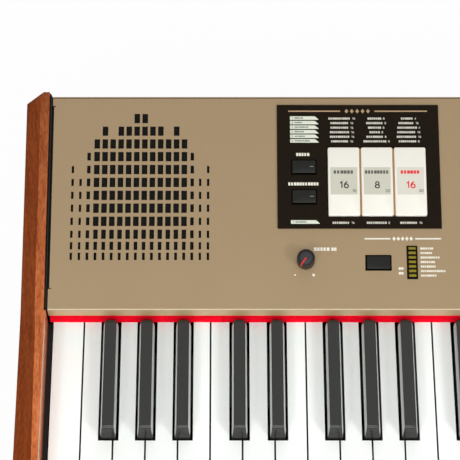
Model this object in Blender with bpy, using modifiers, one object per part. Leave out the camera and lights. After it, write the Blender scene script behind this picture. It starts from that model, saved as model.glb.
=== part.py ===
"""Single-manual portable digital organ with 76 keys, from E to G.

The instrument stands on +Z, the player sits at -Y and the bass end is at -X. The origin is the
centre of its footprint, on the surface that it stands on. Sizes are in metres.
"""

import math

import bmesh
import bpy
from mathutils import Matrix, Vector

# Case
CASE_LENGTH = 1.106
CASE_DEPTH = 0.330
CHEEK_THICK = 0.0187
CHEEK_FLAT = 0.0067
CHEEK_DROP = 0.017
CHEEK_RISE = 0.001
CHEEK_NOSE_RADIUS = 0.026
LINING_STEP = 0.0017
LINING_CHAMFER = (0.0012, 0.0015)
FOOT_HEIGHT = 0.006
FOOT_HALF_DEPTH = 0.155
FOOT_MARGIN = 0.002
RAIL_INSET = 0.001
RAIL_TOP_Z = 0.066
RAIL_RADIUS = 0.005
RAIL_ROUND = (0, 30, 60, 90)
KEY_BLOCK_TOP_Z = 0.0725
CLEARANCE = 0.0003
SHEET = 0.0015
MERGE_REACH = 0.00001

# Rounded edges
STRIP_EDGE = 0.0008
BLOCK_EDGE = 0.0006
TAB_EDGE = 0.0008
BUTTON_EDGE = 0.0007
SUPPLY_EDGE = 0.0015
POWER_EDGE = 0.0006

# Control panel, tilted up towards the rear
PANEL_TILT = math.radians(10.6)
PANEL_SLOPE = 0.1694
PANEL_FRONT_Y = -0.005
PANEL_FRONT_Z = 0.0936
PANEL_HALF = 0.5316
LIP_HEIGHT = 0.0095
REAR_FLANGE = 0.0245
BEND_RADIUS = 0.0009
INNER_BEND = 0.0003
BEND_STEPS = 3

# Grille, counted from the bass end and from the rear; places are on the panel's slope
GRILLE_X = 0.4643
GRILLE_PITCH = 0.0060
GRILLE_COLUMNS = 18
GRILLE_ROW_T = (0.1513, 0.1411, 0.1307, 0.1205, 0.1101, 0.0998,
                0.0895, 0.0793, 0.0689, 0.0587, 0.0496, 0.0414)
GRILLE_WIDE = (0.0042, 0.0075)
GRILLE_MEDIUM = (0.0026, 0.0062)
GRILLE_THIN = (0.0018, 0.0057)
GRILLE_TAPER = {9: (0.0034, 0.0073), 10: (0.0027, 0.0064), 11: (0.0021, 0.0058)}
GRILLE_TOP_ROWS = {0: (8,), 1: (4, 6, 7, 8), 2: (3, 4, 5, 6, 7, 8), 3: (2, 3, 4, 5, 6, 7, 8),
                   4: (0, 2, 3, 4, 5, 6, 7, 8)}
CUT_REACH = 0.004

# Loudspeaker, under the middle of its grille: radius, and depth under the sheet
SPEAKER_T = 0.0965
SPEAKER_PROFILE = ((0, 0.013), (0.016, 0.012), (0.042, 0.003), (0.046, 0), (0.050, 0),
                   (0.050, 0.003), (0.044, 0.0045), (0.026, 0.017), (0.0225, 0.017),
                   (0.0225, 0.030), (0, 0.030))

# Keys: white pitch, gaps, heights and the pivot line at the rear
WHITE_PITCH = 0.0235
WHITE_COUNT = 45
KEY_GAP = 0.0013
WHITE_TOP_Z = 0.075
WHITE_HEIGHT = 0.019
WHITE_WALL = 0.002
KEY_FRONT_Y = -0.150
KEY_TAIL_Y = 0.070
SHARP_NOTCH = 0.0149
SHARP_FRONT_Y = -0.100
SHARP_REAR_Y = -0.0076
SHARP_BASE_WIDTH = 0.0114
SHARP_TOP_WIDTH = 0.0087
SHARP_RISE = 0.012
SHARP_TAIL_WIDTH = 0.009
SHARP_TAIL_BOTTOM_Z = 0.064
SHARP_TAIL_TOP_Z = 0.074
SHARP_TAIL_INSET = 0.001
SHARP_TAIL_REACH = 0.006
SHARP_TAIL_START_Y = SHARP_FRONT_Y + 0.004
SHARP_BAR_DROP = 0.0015
SHARP_SKIRT = 0.0015
SHARP_EDGE = 0.0006
SHARP_LEAN_HEIGHT = 0.0064
SHARP_STATIONS = ((SHARP_FRONT_Y, 0.0, 0.35), (SHARP_FRONT_Y + 0.0045, 0.0, 1.0),
                  (SHARP_REAR_Y - 0.0052, 0.0, 1.0), (SHARP_REAR_Y - 0.0022, 0.0001, 0.94),
                  (SHARP_REAR_Y - 0.0006, 0.0006, 0.79), (SHARP_REAR_Y, 0.0018, 0.55))
SHOULDER_GAP = 0.0015
COMB_BAR_Y = (0.0662, 0.0695)
COMB_BAR_HEIGHT = 0.006
KEY_PIVOT_Y = 0.062
KEY_PIVOT_Z = 0.058
PIVOT_FOOT_HALF = 0.002
SHARP_OFFSETS = {"c": -0.00215, "d": 0.00215, "f": -0.0033, "g": 0.0, "a": 0.0035}
NATURALS = "cdefgab"
SINGLE_KEY_COUNT = 12
SINGLE_SHARP_OCTAVE = 2
COMB_OCTAVES = ((3, 3), (4, 4), (5, 5), (6, 7))

# Key bed: the base, then the rib or rail at each place, its thickness and the height of its top
BED_Y = (-0.140, 0.070)
BED_SHEET = 0.0015
BED_RIBS = ((-0.1340, 0.0030, 0.0450), (-0.0600, 0.0015, 0.0440), (-0.0215, 0.0015, 0.0440),
            (0.0600, 0.0040, 0.0557))
BED_MARGIN = 0.002
CONTACT_BOARD_Y = (-0.062, -0.018)
CONTACT_BOARD_Z = (0.0443, 0.0460)
CONTACT_BOARD_MARGIN = 0.006

# Felt strip under the panel's lip
FELT_HALF = 0.5305
FELT_Y = (-0.0067, -0.0047, -0.0017)
FELT_LIFT = 0.0004

# Stop plates, in panel coordinates: across, up the slope, and height over the panel
PLATE_X = (-0.3613, -0.2386)
PLATE_T = (0.0629, 0.1620)
PLATE_THICK = 0.001
TRAY_MARGIN = 0.0024
TRAY_DEPTH = 0.012
TAB_X = (-0.32315, -0.2981, -0.27305)
TAB_WIDTH = 0.02375
TAB_T = (0.0726, 0.1269)
TAB_TOP = 0.0032
TAB_THICK = 0.0048
TAB_FOOT = 0.0045
TAB_FOOT_INSET = 0.002
TAB_FOOT_STEP = 0.0006
TAB_WELL_FLOOR = -0.0095
BUTTON_X = (-0.3500, -0.3323)
BUTTON_UPPER_T = (0.1066, 0.1165)
BUTTON_LOWER_T = (0.0828, 0.0928)
BUTTON_TOP = 0.0028
BUTTON_BOTTOM = -0.004
BUTTON_TRAVEL = 0.0012
BUTTON_GAP = (0.0006, 0.0011)
WELL_GAP = 0.0005

# Lower controls
PRESET_X = (-0.2953, -0.2777)
PRESET_T = (0.0314, 0.0413)
PRESET_GAP = (0.0010, 0.0012)
PRESET_TOP = 0.0015
LIGHTS_X = (-0.2651, -0.2576)
LIGHTS_T = (0.0239, 0.0494)
LIGHTS_TOP = 0.0009
LENS_COUNT = 7
LENS_SIZE = (0.0054, 0.0021)
LENS_FIRST_T = 0.0473
LENS_PITCH = 0.00352
LENS_RISE = 0.0002
KNOB_X = -0.3406
KNOB_T = 0.0374
KNOB_RADIUS = 0.00665
KNOB_HEIGHT = 0.0095
KNOB_SHAFT_RADIUS = 0.0028
KNOB_EDGE = 0.0008
KNOB_CHAMFER = 0.0006
INPUT_KNOB_BASE = 0.0005
VOLUME_X = 0.34145
VOLUME_T = 0.1000
VOLUME_KNOB_BASE = 0.0017
BOARD_X = (-0.350, -0.250)
BOARD_T = (0.0195, 0.0545)
BOARD_H = (-0.0140, -0.0124)
SWITCH_TOP = -0.0073
SWITCH_HALF = 0.006
POTENTIOMETER_HALF = 0.0075
BOARD_POSTS_X = (-0.3495, -0.318)
BOARD_POST_SIZE = 0.006
ROOT = 0.0005

# Rear sockets, seen from above: centre, width and height of each recess in the block
SOCKETS = {"mains": (0.138, 0.027, 0.020), "midi_in": (0.096, 0.014, 0.014),
           "midi_out": (0.072, 0.014, 0.014), "pedal": (0.050, 0.008, 0.008),
           "line": (0.034, 0.0065, 0.0065), "phones": (0.018, 0.0065, 0.0065)}
SOCKET_BLOCK_X = (0.004, 0.196)
SOCKET_BLOCK_Y = (0.1330, 0.1606)
SOCKET_BLOCK_Z = (0.030, 0.062)
SOCKET_DEPTH = 0.016
POWER_BUTTON_X = 0.175
POWER_BUTTON_SIZE = (0.018, 0.012)
POWER_WELL_DEPTH = 0.010
POWER_PROUD = 0.0028
POWER_TRAVEL = 0.002

# Electronics on the tray: corners in X and Y, heights over the tray, and the main board's parts
MAIN_BOARD_X = (-0.130, 0.120)
MAIN_BOARD_Y = (0.084, 0.130)
MAIN_BOARD_RISE = 0.009
MAIN_BOARD_THICK = 0.0016
STANDOFF = 0.006
STANDOFF_INSET = 0.004
COMPONENTS = (((-0.060, 0.094), (-0.030, 0.120), 0.003), ((-0.010, 0.096), (0.014, 0.116), 0.0022),
              ((0.060, 0.092), (0.100, 0.104), 0.018))
SUPPLY_X = (0.240, 0.360)
SUPPLY_Y = (0.084, 0.150)
SUPPLY_HEIGHT = 0.036

HALF_LENGTH = CASE_LENGTH / 2
CHEEK_INNER_X = HALF_LENGTH - CHEEK_THICK
FRONT_Y = -CASE_DEPTH / 2
REAR_Y = CASE_DEPTH / 2
PAN_HALF = CHEEK_INNER_X - CLEARANCE
PAN_BOTTOM_Z = FOOT_HEIGHT + CLEARANCE
PAN_SHEET = 0.0012
PAN_FRONT_Y = -0.1512
PAN_REAR_Y = 0.1598
PAN_FRONT_TOP_Z = 0.040
BED_BOTTOM_Z = PAN_BOTTOM_Z + PAN_SHEET + CLEARANCE
KEYS_HALF = WHITE_COUNT * WHITE_PITCH / 2
FIRST_KEY_X = -KEYS_HALF
PANEL_COS = math.cos(PANEL_TILT)

MODEL = bpy.data.collections.new("electronic_organ")
CUTTERS = bpy.data.collections.new("cutters")


def clear_scene():
    """Remove every object that the scene starts with."""
    for item in list(bpy.data.objects):
        bpy.data.objects.remove(item, do_unlink=True)
    bpy.context.scene.collection.children.link(MODEL)
    bpy.context.scene.collection.children.link(CUTTERS)


def linear(channel):
    """Turn an sRGB channel from 0 to 255 into a linear value."""
    value = channel / 255
    return value / 12.92 if value <= 0.04045 else ((value + 0.055) / 1.055) ** 2.4


def finish(name, colour, roughness, metallic=0.0):
    """Make a Principled material from an sRGB colour."""
    material = bpy.data.materials.new(name)
    material.use_nodes = True
    shader = material.node_tree.nodes["Principled BSDF"]
    shader.inputs["Base Color"].default_value = [linear(c) for c in colour] + [1.0]
    shader.inputs["Roughness"].default_value = roughness
    shader.inputs["Metallic"].default_value = metallic
    return material


def place(name, mesh, material=None, parent=None, location=(0, 0, 0)):
    """Put a mesh into the model as a named object, or into the cutters if it has no material."""
    item = bpy.data.objects.new(name, mesh)
    if material is None:
        CUTTERS.objects.link(item)
        item.hide_render = True
        item.display_type = "WIRE"
    else:
        MODEL.objects.link(item)
        own = material.copy()
        own.name = name + "_finish"
        mesh.materials.append(own)
    item.parent = parent
    item.location = location
    return item


def mesh_from(name, bm):
    """Turn a bmesh into mesh data."""
    mesh = bpy.data.meshes.new(name)
    bmesh.ops.recalc_face_normals(bm, faces=bm.faces)
    bm.to_mesh(mesh)
    bm.free()
    return mesh


def add_block(bm, low, high):
    """Add a box between two corners and give back its vertices."""
    low = Vector(low)
    high = Vector(high)
    size = high - low
    matrix = Matrix.Translation((low + high) / 2) @ Matrix.Diagonal((*size, 1.0))
    return bmesh.ops.create_cube(bm, size=1.0, matrix=matrix)["verts"]


def blocks_mesh(name, corners):
    """Make one mesh of boxes, each given by its two corners."""
    bm = bmesh.new()
    for low, high in corners:
        add_block(bm, low, high)
    return mesh_from(name, bm)


def block(name, low, high, material=None, parent=None, origin=(0, 0, 0)):
    """Make a box between two corners, with the object's origin at the given point."""
    shift = Vector(origin)
    mesh = blocks_mesh(name, [(Vector(low) - shift, Vector(high) - shift)])
    return place(name, mesh, material, parent, origin)


def boolean(target, tool, operation):
    """Cut or join the target with a tool that stays hidden among the cutters."""
    step = target.modifiers.new(operation.lower(), "BOOLEAN")
    step.operation = operation
    step.solver = "EXACT"
    step.object = tool


def soften(target, width, angle=40):
    """Bevel the sharp edges of an object by one flat."""
    step = target.modifiers.new("bevel", "BEVEL")
    step.width = width
    step.segments = 1
    step.limit_method = "ANGLE"
    step.angle_limit = math.radians(angle)


def loft(bm, sections):
    """Skin closed sections of equal point counts, and cap both ends."""
    rings = [[bm.verts.new(point) for point in section] for section in sections]
    count = len(rings[0])
    for first, second in zip(rings, rings[1:]):
        for i in range(count):
            j = (i + 1) % count
            bm.faces.new((first[i], first[j], second[j], second[i]))
    bm.faces.new(reversed(rings[0]))
    bm.faces.new(rings[-1])


def extrusion(name, outline, low_x, high_x):
    """Extrude an outline of (y, z) points along X."""
    bm = bmesh.new()
    loft(bm, [[(x, y, z) for y, z in outline] for x in (low_x, high_x)])
    return mesh_from(name, bm)


def turned(name, profile, steps, material, parent, location):
    """Turn a profile of (radius, height) points about the object's Z axis."""
    bm = bmesh.new()
    points = [bm.verts.new((radius, 0, height)) for radius, height in profile]
    for first, second in zip(points, points[1:]):
        bm.edges.new((first, second))
    mesh = bpy.data.meshes.new(name)
    bm.to_mesh(mesh)
    bm.free()
    item = place(name, mesh, material, parent, location)
    step = item.modifiers.new("turn", "SCREW")
    step.steps = steps
    step.render_steps = steps
    step.use_merge_vertices = True
    step.merge_threshold = MERGE_REACH
    return item


def panel_z(y):
    """Height of the panel's outer surface over a point of the floor."""
    return PANEL_FRONT_Z + (y - PANEL_FRONT_Y) * math.tan(PANEL_TILT)


def make_panel_plane():
    """Make the empty that carries everything on the tilted panel."""
    plane = bpy.data.objects.new("panel_plane", None)
    MODEL.objects.link(plane)
    plane.location = (0, PANEL_FRONT_Y, PANEL_FRONT_Z)
    plane.rotation_euler = (PANEL_TILT, 0, 0)
    return plane


# Case: cheeks, feet, tray, front rail and key blocks


def cheek_sections(inner_x, side):
    """Give the cheek's cross sections from the front to the rear.

    Each section has five corners: inner bottom, inner top, ridge, outer top and outer bottom.
    """
    front_top = PANEL_FRONT_Z + CHEEK_RISE
    tops = []
    for i in range(5):
        angle = math.radians(90 * i / 4)
        y = FRONT_Y + CHEEK_NOSE_RADIUS * (1 - math.cos(angle))
        tops.append((y, front_top - CHEEK_NOSE_RADIUS * (1 - math.sin(angle))))
    tops.append((PANEL_FRONT_Y, front_top))
    tops.append((REAR_Y, panel_z(REAR_Y) + CHEEK_RISE))
    ridge_x = inner_x + side * CHEEK_FLAT
    outer_x = inner_x + side * CHEEK_THICK
    return [[(inner_x, y, PAN_BOTTOM_Z), (inner_x, y, top), (ridge_x, y, top),
             (outer_x, y, top - CHEEK_DROP), (outer_x, y, PAN_BOTTOM_Z)] for y, top in tops]


def make_lining(name, side):
    """Make the strip that thickens a cheek beside the keys, with a chamfered upper edge."""
    root_x = CHEEK_INNER_X + ROOT
    inner_x = CHEEK_INNER_X - LINING_STEP
    bottom = KEY_BLOCK_TOP_Z + CLEARANCE
    top = PANEL_FRONT_Z + CHEEK_RISE
    outline = [(root_x, bottom), (inner_x, bottom), (inner_x, top - LINING_CHAMFER[1]),
               (inner_x + LINING_CHAMFER[0], top), (root_x, top)]
    ends = (FRONT_Y + CHEEK_NOSE_RADIUS, PANEL_FRONT_Y - 2 * CLEARANCE)
    bm = bmesh.new()
    loft(bm, [[(side * x, y, z) for x, z in outline] for y in ends])
    return place(name, mesh_from(name, bm))


def make_cheek(name, side, wood):
    """Make one wooden end cheek."""
    bm = bmesh.new()
    loft(bm, cheek_sections(side * CHEEK_INNER_X, side))
    cheek = place(name, mesh_from(name, bm), wood)
    boolean(cheek, make_lining(name + "_lining", side), "UNION")
    return cheek


def make_foot_strip(name, side, rubber):
    """Make the rubber strip under one cheek."""
    low_x, high_x = sorted((side * (CHEEK_INNER_X + FOOT_MARGIN), side * (HALF_LENGTH - FOOT_MARGIN)))
    strip = block(name, (low_x, -FOOT_HALF_DEPTH, 0), (high_x, FOOT_HALF_DEPTH, FOOT_HEIGHT), rubber)
    soften(strip, STRIP_EDGE)
    return strip


def make_base_pan(steel):
    """Make the bottom tray, whose rear wall carries the sockets."""
    rear_top = panel_z(PAN_REAR_Y) - REAR_FLANGE - PAN_SHEET
    outline = [(PAN_FRONT_Y, PAN_FRONT_TOP_Z), (PAN_FRONT_Y, PAN_BOTTOM_Z),
               (PAN_REAR_Y, PAN_BOTTOM_Z), (PAN_REAR_Y, rear_top),
               (PAN_REAR_Y - PAN_SHEET, rear_top), (PAN_REAR_Y - PAN_SHEET, PAN_BOTTOM_Z + PAN_SHEET),
               (PAN_FRONT_Y + PAN_SHEET, PAN_BOTTOM_Z + PAN_SHEET),
               (PAN_FRONT_Y + PAN_SHEET, PAN_FRONT_TOP_Z)]
    pan = place("base_pan", extrusion("base_pan", outline, -PAN_HALF, PAN_HALF), steel)
    window_x = (SOCKET_BLOCK_X[0] - CLEARANCE, SOCKET_BLOCK_X[1] + CLEARANCE)
    window_z = (SOCKET_BLOCK_Z[0] - CLEARANCE, SOCKET_BLOCK_Z[1] + CLEARANCE)
    window = block("socket_window", (window_x[0], PAN_REAR_Y - CUT_REACH, window_z[0]),
                   (window_x[1], PAN_REAR_Y + CUT_REACH, window_z[1]))
    boolean(pan, window, "DIFFERENCE")
    return pan


def make_front_rail(wood):
    """Make the wooden rail in front of the keys, with a rounded upper front edge."""
    front = FRONT_Y + RAIL_INSET
    rear = PAN_FRONT_Y - CLEARANCE
    arc = [(front + RAIL_RADIUS * (1 - math.cos(angle)), RAIL_TOP_Z - RAIL_RADIUS * (1 - math.sin(angle)))
           for angle in map(math.radians, RAIL_ROUND)]
    outline = [(front, PAN_BOTTOM_Z)] + arc + [(rear, RAIL_TOP_Z), (rear, PAN_BOTTOM_Z)]
    return place("front_rail", extrusion("front_rail", outline, -PAN_HALF, PAN_HALF), wood)


def make_key_block(name, side, plastic):
    """Make the black block between a cheek and the outermost key."""
    low_x, high_x = sorted((side * PAN_HALF, side * (KEYS_HALF - CLEARANCE)))
    item = block(name, (low_x, PAN_FRONT_Y + PAN_SHEET + CLEARANCE, BED_BOTTOM_Z),
                 (high_x, PANEL_FRONT_Y - 2 * CLEARANCE, KEY_BLOCK_TOP_Z), plastic)
    soften(item, BLOCK_EDGE)
    return item


# Panel: a folded sheet with grilles and openings


def rear_fold(rear_y, lower, radius):
    """Points round the fold at the panel's rear, from its slope down to its flange."""
    centre_y = rear_y - radius
    centre_z = panel_z(centre_y) - lower - radius / PANEL_COS
    turn = math.pi / 2 + PANEL_TILT
    angles = [turn * (1 - i / BEND_STEPS) for i in range(BEND_STEPS + 1)]
    return [(centre_y + radius * math.cos(angle), centre_z + radius * math.sin(angle)) for angle in angles]


def panel_outline(inset, drop):
    """Outline of the folded panel's wedge, inset by a sheet's thickness or not."""
    front_y = PANEL_FRONT_Y + inset
    rear_y = PANEL_FRONT_Y + PANEL_SLOPE * PANEL_COS - inset
    lower = inset / PANEL_COS
    radius = max(BEND_RADIUS - inset, INNER_BEND)
    reach = radius * math.tan((math.pi / 2 - PANEL_TILT) / 2)
    corner = (front_y, panel_z(front_y) - lower)
    start = corner[1] - reach
    outline = []
    for i in range(BEND_STEPS + 1):
        angle = (math.pi / 2 - PANEL_TILT) * i / BEND_STEPS
        outline.append((front_y + radius * (1 - math.cos(angle)), start + radius * math.sin(angle)))
    outline += rear_fold(rear_y, lower, radius)
    outline.append((rear_y, panel_z(rear_y) - REAR_FLANGE - drop))
    outline.append((front_y, PANEL_FRONT_Z - LIP_HEIGHT - drop))
    return outline


def grille_slot_size(row, column):
    """Width and height of a grille slot, or None where the grille has no slot.

    The rows step outwards like a stand of pipes, and the outer columns are narrower.
    """
    outer = min(column, GRILLE_COLUMNS - 1 - column)
    if outer not in GRILLE_TOP_ROWS.get(row, (outer,)):
        return None
    size = GRILLE_THIN if outer < 2 else GRILLE_MEDIUM if outer == 2 else GRILLE_WIDE
    taper = GRILLE_TAPER.get(row)
    if taper and taper[0] < size[0]:
        size = taper
    return size


def grille_blocks(centre_x):
    """Give the boxes that cut one grille's slots through the panel."""
    corners = []
    for row, t in enumerate(GRILLE_ROW_T):
        for column in range(GRILLE_COLUMNS):
            size = grille_slot_size(row, column)
            if size is None:
                continue
            x = centre_x + (column - (GRILLE_COLUMNS - 1) / 2) * GRILLE_PITCH
            half_x = size[0] / 2
            half_t = size[1] / 2
            corners.append(((x - half_x, t - half_t, -CUT_REACH), (x + half_x, t + half_t, CUT_REACH)))
    return corners


def opening(low_x, high_x, low_t, high_t, margin_x, margin_t):
    """Give the box that cuts one opening through the panel."""
    return ((low_x - margin_x, low_t - margin_t, -CUT_REACH),
            (high_x + margin_x, high_t + margin_t, CUT_REACH))


def round_hole(name, x, t, radius, plane):
    """Make a round cutter, square to the panel, that ends at the level of the switches."""
    bm = bmesh.new()
    depth = CUT_REACH - SWITCH_TOP
    bmesh.ops.create_cone(bm, cap_ends=True, segments=16, radius1=radius, radius2=radius, depth=depth)
    return place(name, mesh_from(name, bm), None, plane, (x, t, SWITCH_TOP + depth / 2))


def make_top_panel(metal, plane):
    """Make the folded control panel and cut its grilles and openings."""
    panel = place("top_panel", extrusion("top_panel", panel_outline(0, 0), -PANEL_HALF, PANEL_HALF), metal)
    inside_half = PANEL_HALF - SHEET
    inside = extrusion("panel_inside", panel_outline(SHEET, LIP_HEIGHT), -inside_half, inside_half)
    boolean(panel, place("panel_inside", inside), "DIFFERENCE")
    cuts = grille_blocks(-GRILLE_X) + grille_blocks(GRILLE_X)
    tray_t = (PLATE_T[0] + TRAY_MARGIN, PLATE_T[1] - TRAY_MARGIN)
    for side in (-1, 1):
        edges = sorted((side * -(PLATE_X[0] + TRAY_MARGIN), side * -(PLATE_X[1] - TRAY_MARGIN)))
        cuts.append(opening(*edges, *tray_t, WELL_GAP, WELL_GAP))
    cuts.append(opening(*PRESET_X, *PRESET_T, *PRESET_GAP))
    cuts.append(opening(*LIGHTS_X, *LIGHTS_T, CLEARANCE, CLEARANCE))
    boolean(panel, place("panel_cuts", blocks_mesh("panel_cuts", cuts), None, plane), "DIFFERENCE")
    hole = round_hole("knob_hole", KNOB_X, KNOB_T, KNOB_SHAFT_RADIUS + WELL_GAP, plane)
    boolean(panel, hole, "DIFFERENCE")
    return panel


# Stop plates, tabs, buttons and knobs


def mirrored(pair, side):
    """Give an X range at the bass end, or its mirror image at the treble end."""
    return pair if side < 0 else (-pair[1], -pair[0])


def well(x_range, t_range, gap, floor):
    """Give the box that cuts a well down to a floor, with a gap round what sits in it."""
    return ((x_range[0] - gap[0], t_range[0] - gap[1], floor),
            (x_range[1] + gap[0], t_range[1] + gap[1], CUT_REACH))


def make_stop_plate(name, side, plastic, plane):
    """Make a stop plate with the tray that holds its tabs and buttons."""
    plate_x = mirrored(PLATE_X, side)
    face = block(name, (plate_x[0], PLATE_T[0], CLEARANCE),
                 (plate_x[1], PLATE_T[1], CLEARANCE + PLATE_THICK), plastic, plane)
    tray = block(name + "_tray", (plate_x[0] + TRAY_MARGIN, PLATE_T[0] + TRAY_MARGIN, -TRAY_DEPTH),
                 (plate_x[1] - TRAY_MARGIN, PLATE_T[1] - TRAY_MARGIN, CLEARANCE + PLATE_THICK / 2),
                 None, plane)
    boolean(face, tray, "UNION")
    tabs_x = mirrored((TAB_X[0], TAB_X[-1] + TAB_WIDTH), side)
    wells = [well(tabs_x, TAB_T, (WELL_GAP, WELL_GAP), TAB_WELL_FLOOR)]
    if side < 0:
        button_floor = BUTTON_BOTTOM - BUTTON_TRAVEL - CLEARANCE
        spans = (BUTTON_UPPER_T, BUTTON_LOWER_T)
        wells += [well(BUTTON_X, span, BUTTON_GAP, button_floor) for span in spans]
    boolean(face, place(name + "_wells", blocks_mesh(name + "_wells", wells), None, plane), "DIFFERENCE")
    if side > 0:
        boolean(face, round_hole("volume_hole", VOLUME_X, VOLUME_T, KNOB_SHAFT_RADIUS + WELL_GAP, plane),
                "DIFFERENCE")
    return face


def make_tab(name, low_x, ivory, plane):
    """Make a rocker tab that hinges on the foot at its rear end."""
    pivot = Vector((low_x + TAB_WIDTH / 2, TAB_T[1] - TAB_FOOT / 2, TAB_WELL_FLOOR + CLEARANCE))
    half = TAB_WIDTH / 2
    front = TAB_T[0] - pivot.y
    rear = TAB_T[1] - pivot.y
    top = TAB_TOP - pivot.z
    tab = place(name, blocks_mesh(name, [((-half, front, top - TAB_THICK), (half, rear, top))]),
                ivory, plane, pivot)
    foot = ((-half + TAB_FOOT_INSET, rear - TAB_FOOT, 0),
            (half - TAB_FOOT_INSET, rear - TAB_FOOT_STEP, top - TAB_THICK / 2))
    boolean(tab, place(name + "_foot", blocks_mesh(name + "_foot", [foot]), None, plane, pivot), "UNION")
    soften(tab, TAB_EDGE)
    return tab


def make_button(name, x_range, t_range, top, plastic, plane):
    """Make a push-button cap that slides square to the panel."""
    origin = ((x_range[0] + x_range[1]) / 2, (t_range[0] + t_range[1]) / 2, top)
    cap = block(name, (x_range[0], t_range[0], BUTTON_BOTTOM), (x_range[1], t_range[1], top),
                plastic, plane, origin)
    soften(cap, BUTTON_EDGE)
    return cap


def make_knob(name, x, t, base, plastic, plane):
    """Make a knob with its shaft, standing on the panel at the given height."""
    top = base + KNOB_HEIGHT
    foot = SWITCH_TOP + CLEARANCE
    profile = [(0, top), (KNOB_RADIUS - KNOB_EDGE, top), (KNOB_RADIUS - KNOB_EDGE / 3, top - KNOB_CHAMFER),
               (KNOB_RADIUS, base), (KNOB_SHAFT_RADIUS, base), (KNOB_SHAFT_RADIUS, foot), (0, foot)]
    return turned(name, profile, 20, plastic, plane, (x, t, 0))


def make_light_board(board, plane):
    """Make the small board under the panel with its lights, switch and potentiometer."""
    item = block("light_board", (BOARD_X[0], BOARD_T[0], BOARD_H[0]),
                 (BOARD_X[1], BOARD_T[1], BOARD_H[1]), board, plane)
    root = BOARD_H[0] + ROOT
    raised = [((LIGHTS_X[0], LIGHTS_T[0], root), (LIGHTS_X[1], LIGHTS_T[1], LIGHTS_TOP))]
    switches = ((sum(PRESET_X) / 2, sum(PRESET_T) / 2, SWITCH_HALF), (KNOB_X, KNOB_T, POTENTIOMETER_HALF))
    for x, t, half in switches:
        raised.append(((x - half, t - half, root), (x + half, t + half, SWITCH_TOP)))
    rear_t = BOARD_T[1] - ROOT
    for x in BOARD_POSTS_X:
        raised.append(((x, rear_t - BOARD_POST_SIZE, root),
                       (x + BOARD_POST_SIZE, rear_t, -SHEET - CLEARANCE)))
    parts = place("light_board_parts", blocks_mesh("light_board_parts", raised), None, plane)
    boolean(item, parts, "UNION")
    lenses = []
    for number in range(LENS_COUNT):
        x = sum(LIGHTS_X) / 2
        t = LENS_FIRST_T - number * LENS_PITCH
        lenses.append(((x - LENS_SIZE[0] / 2, t - LENS_SIZE[1] / 2, LIGHTS_TOP - ROOT),
                       (x + LENS_SIZE[0] / 2, t + LENS_SIZE[1] / 2, LIGHTS_TOP + LENS_RISE)))
    boolean(item, place("light_lenses", blocks_mesh("light_lenses", lenses), None, plane), "UNION")
    return item


# Sound and electronics


def make_speaker(name, x, paper, plane):
    """Make a shallow loudspeaker that hangs under its grille."""
    profile = [(radius, -SHEET - CLEARANCE - depth) for radius, depth in SPEAKER_PROFILE]
    return turned(name, profile, 16, paper, plane, (x, SPEAKER_T, 0))


def make_main_board(board):
    """Make the main board on its four stand-offs, with its larger components."""
    top = BED_BOTTOM_Z + MAIN_BOARD_RISE
    root = top - MAIN_BOARD_THICK / 2
    item = block("main_board", (MAIN_BOARD_X[0], MAIN_BOARD_Y[0], top - MAIN_BOARD_THICK),
                 (MAIN_BOARD_X[1], MAIN_BOARD_Y[1], top), board)
    raised = []
    for x in (MAIN_BOARD_X[0] + STANDOFF_INSET, MAIN_BOARD_X[1] - STANDOFF_INSET - STANDOFF):
        for y in (MAIN_BOARD_Y[0] + STANDOFF_INSET, MAIN_BOARD_Y[1] - STANDOFF_INSET - STANDOFF):
            raised.append(((x, y, BED_BOTTOM_Z), (x + STANDOFF, y + STANDOFF, root)))
    for low, high, rise in COMPONENTS:
        raised.append(((*low, root), (*high, top + rise)))
    boolean(item, place("main_board_parts", blocks_mesh("main_board_parts", raised)), "UNION")
    return item


def make_power_supply(steel):
    """Make the boxed power supply on the tray."""
    item = block("power_supply", (SUPPLY_X[0], SUPPLY_Y[0], BED_BOTTOM_Z),
                 (SUPPLY_X[1], SUPPLY_Y[1], BED_BOTTOM_Z + SUPPLY_HEIGHT), steel)
    soften(item, SUPPLY_EDGE)
    return item


def make_socket_block(plastic):
    """Make the rear socket block with its recesses."""
    low = (SOCKET_BLOCK_X[0], SOCKET_BLOCK_Y[0], SOCKET_BLOCK_Z[0])
    high = (SOCKET_BLOCK_X[1], SOCKET_BLOCK_Y[1], SOCKET_BLOCK_Z[1])
    item = block("socket_block", low, high, plastic)
    middle_z = (low[2] + high[2]) / 2
    rear = high[1]
    cuts = [((x - width / 2, rear - SOCKET_DEPTH, middle_z - height / 2),
             (x + width / 2, rear + CUT_REACH, middle_z + height / 2))
            for x, width, height in SOCKETS.values()]
    half_x = POWER_BUTTON_SIZE[0] / 2 + WELL_GAP
    half_z = POWER_BUTTON_SIZE[1] / 2 + WELL_GAP
    cuts.append(((POWER_BUTTON_X - half_x, rear - POWER_WELL_DEPTH, middle_z - half_z),
                 (POWER_BUTTON_X + half_x, rear + CUT_REACH, middle_z + half_z)))
    boolean(item, place("socket_recesses", blocks_mesh("socket_recesses", cuts)), "DIFFERENCE")
    return item


def make_power_button(plastic):
    """Make the power button that slides into the socket block."""
    rear = SOCKET_BLOCK_Y[1]
    middle_z = sum(SOCKET_BLOCK_Z) / 2
    half_x = POWER_BUTTON_SIZE[0] / 2
    half_z = POWER_BUTTON_SIZE[1] / 2
    low = (POWER_BUTTON_X - half_x, rear - POWER_WELL_DEPTH + POWER_TRAVEL + CLEARANCE, middle_z - half_z)
    high = (POWER_BUTTON_X + half_x, rear + POWER_PROUD, middle_z + half_z)
    item = block("power_button", low, high, plastic, None, (POWER_BUTTON_X, high[1], middle_z))
    soften(item, POWER_EDGE)
    return item


# Keys and key bed


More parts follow.
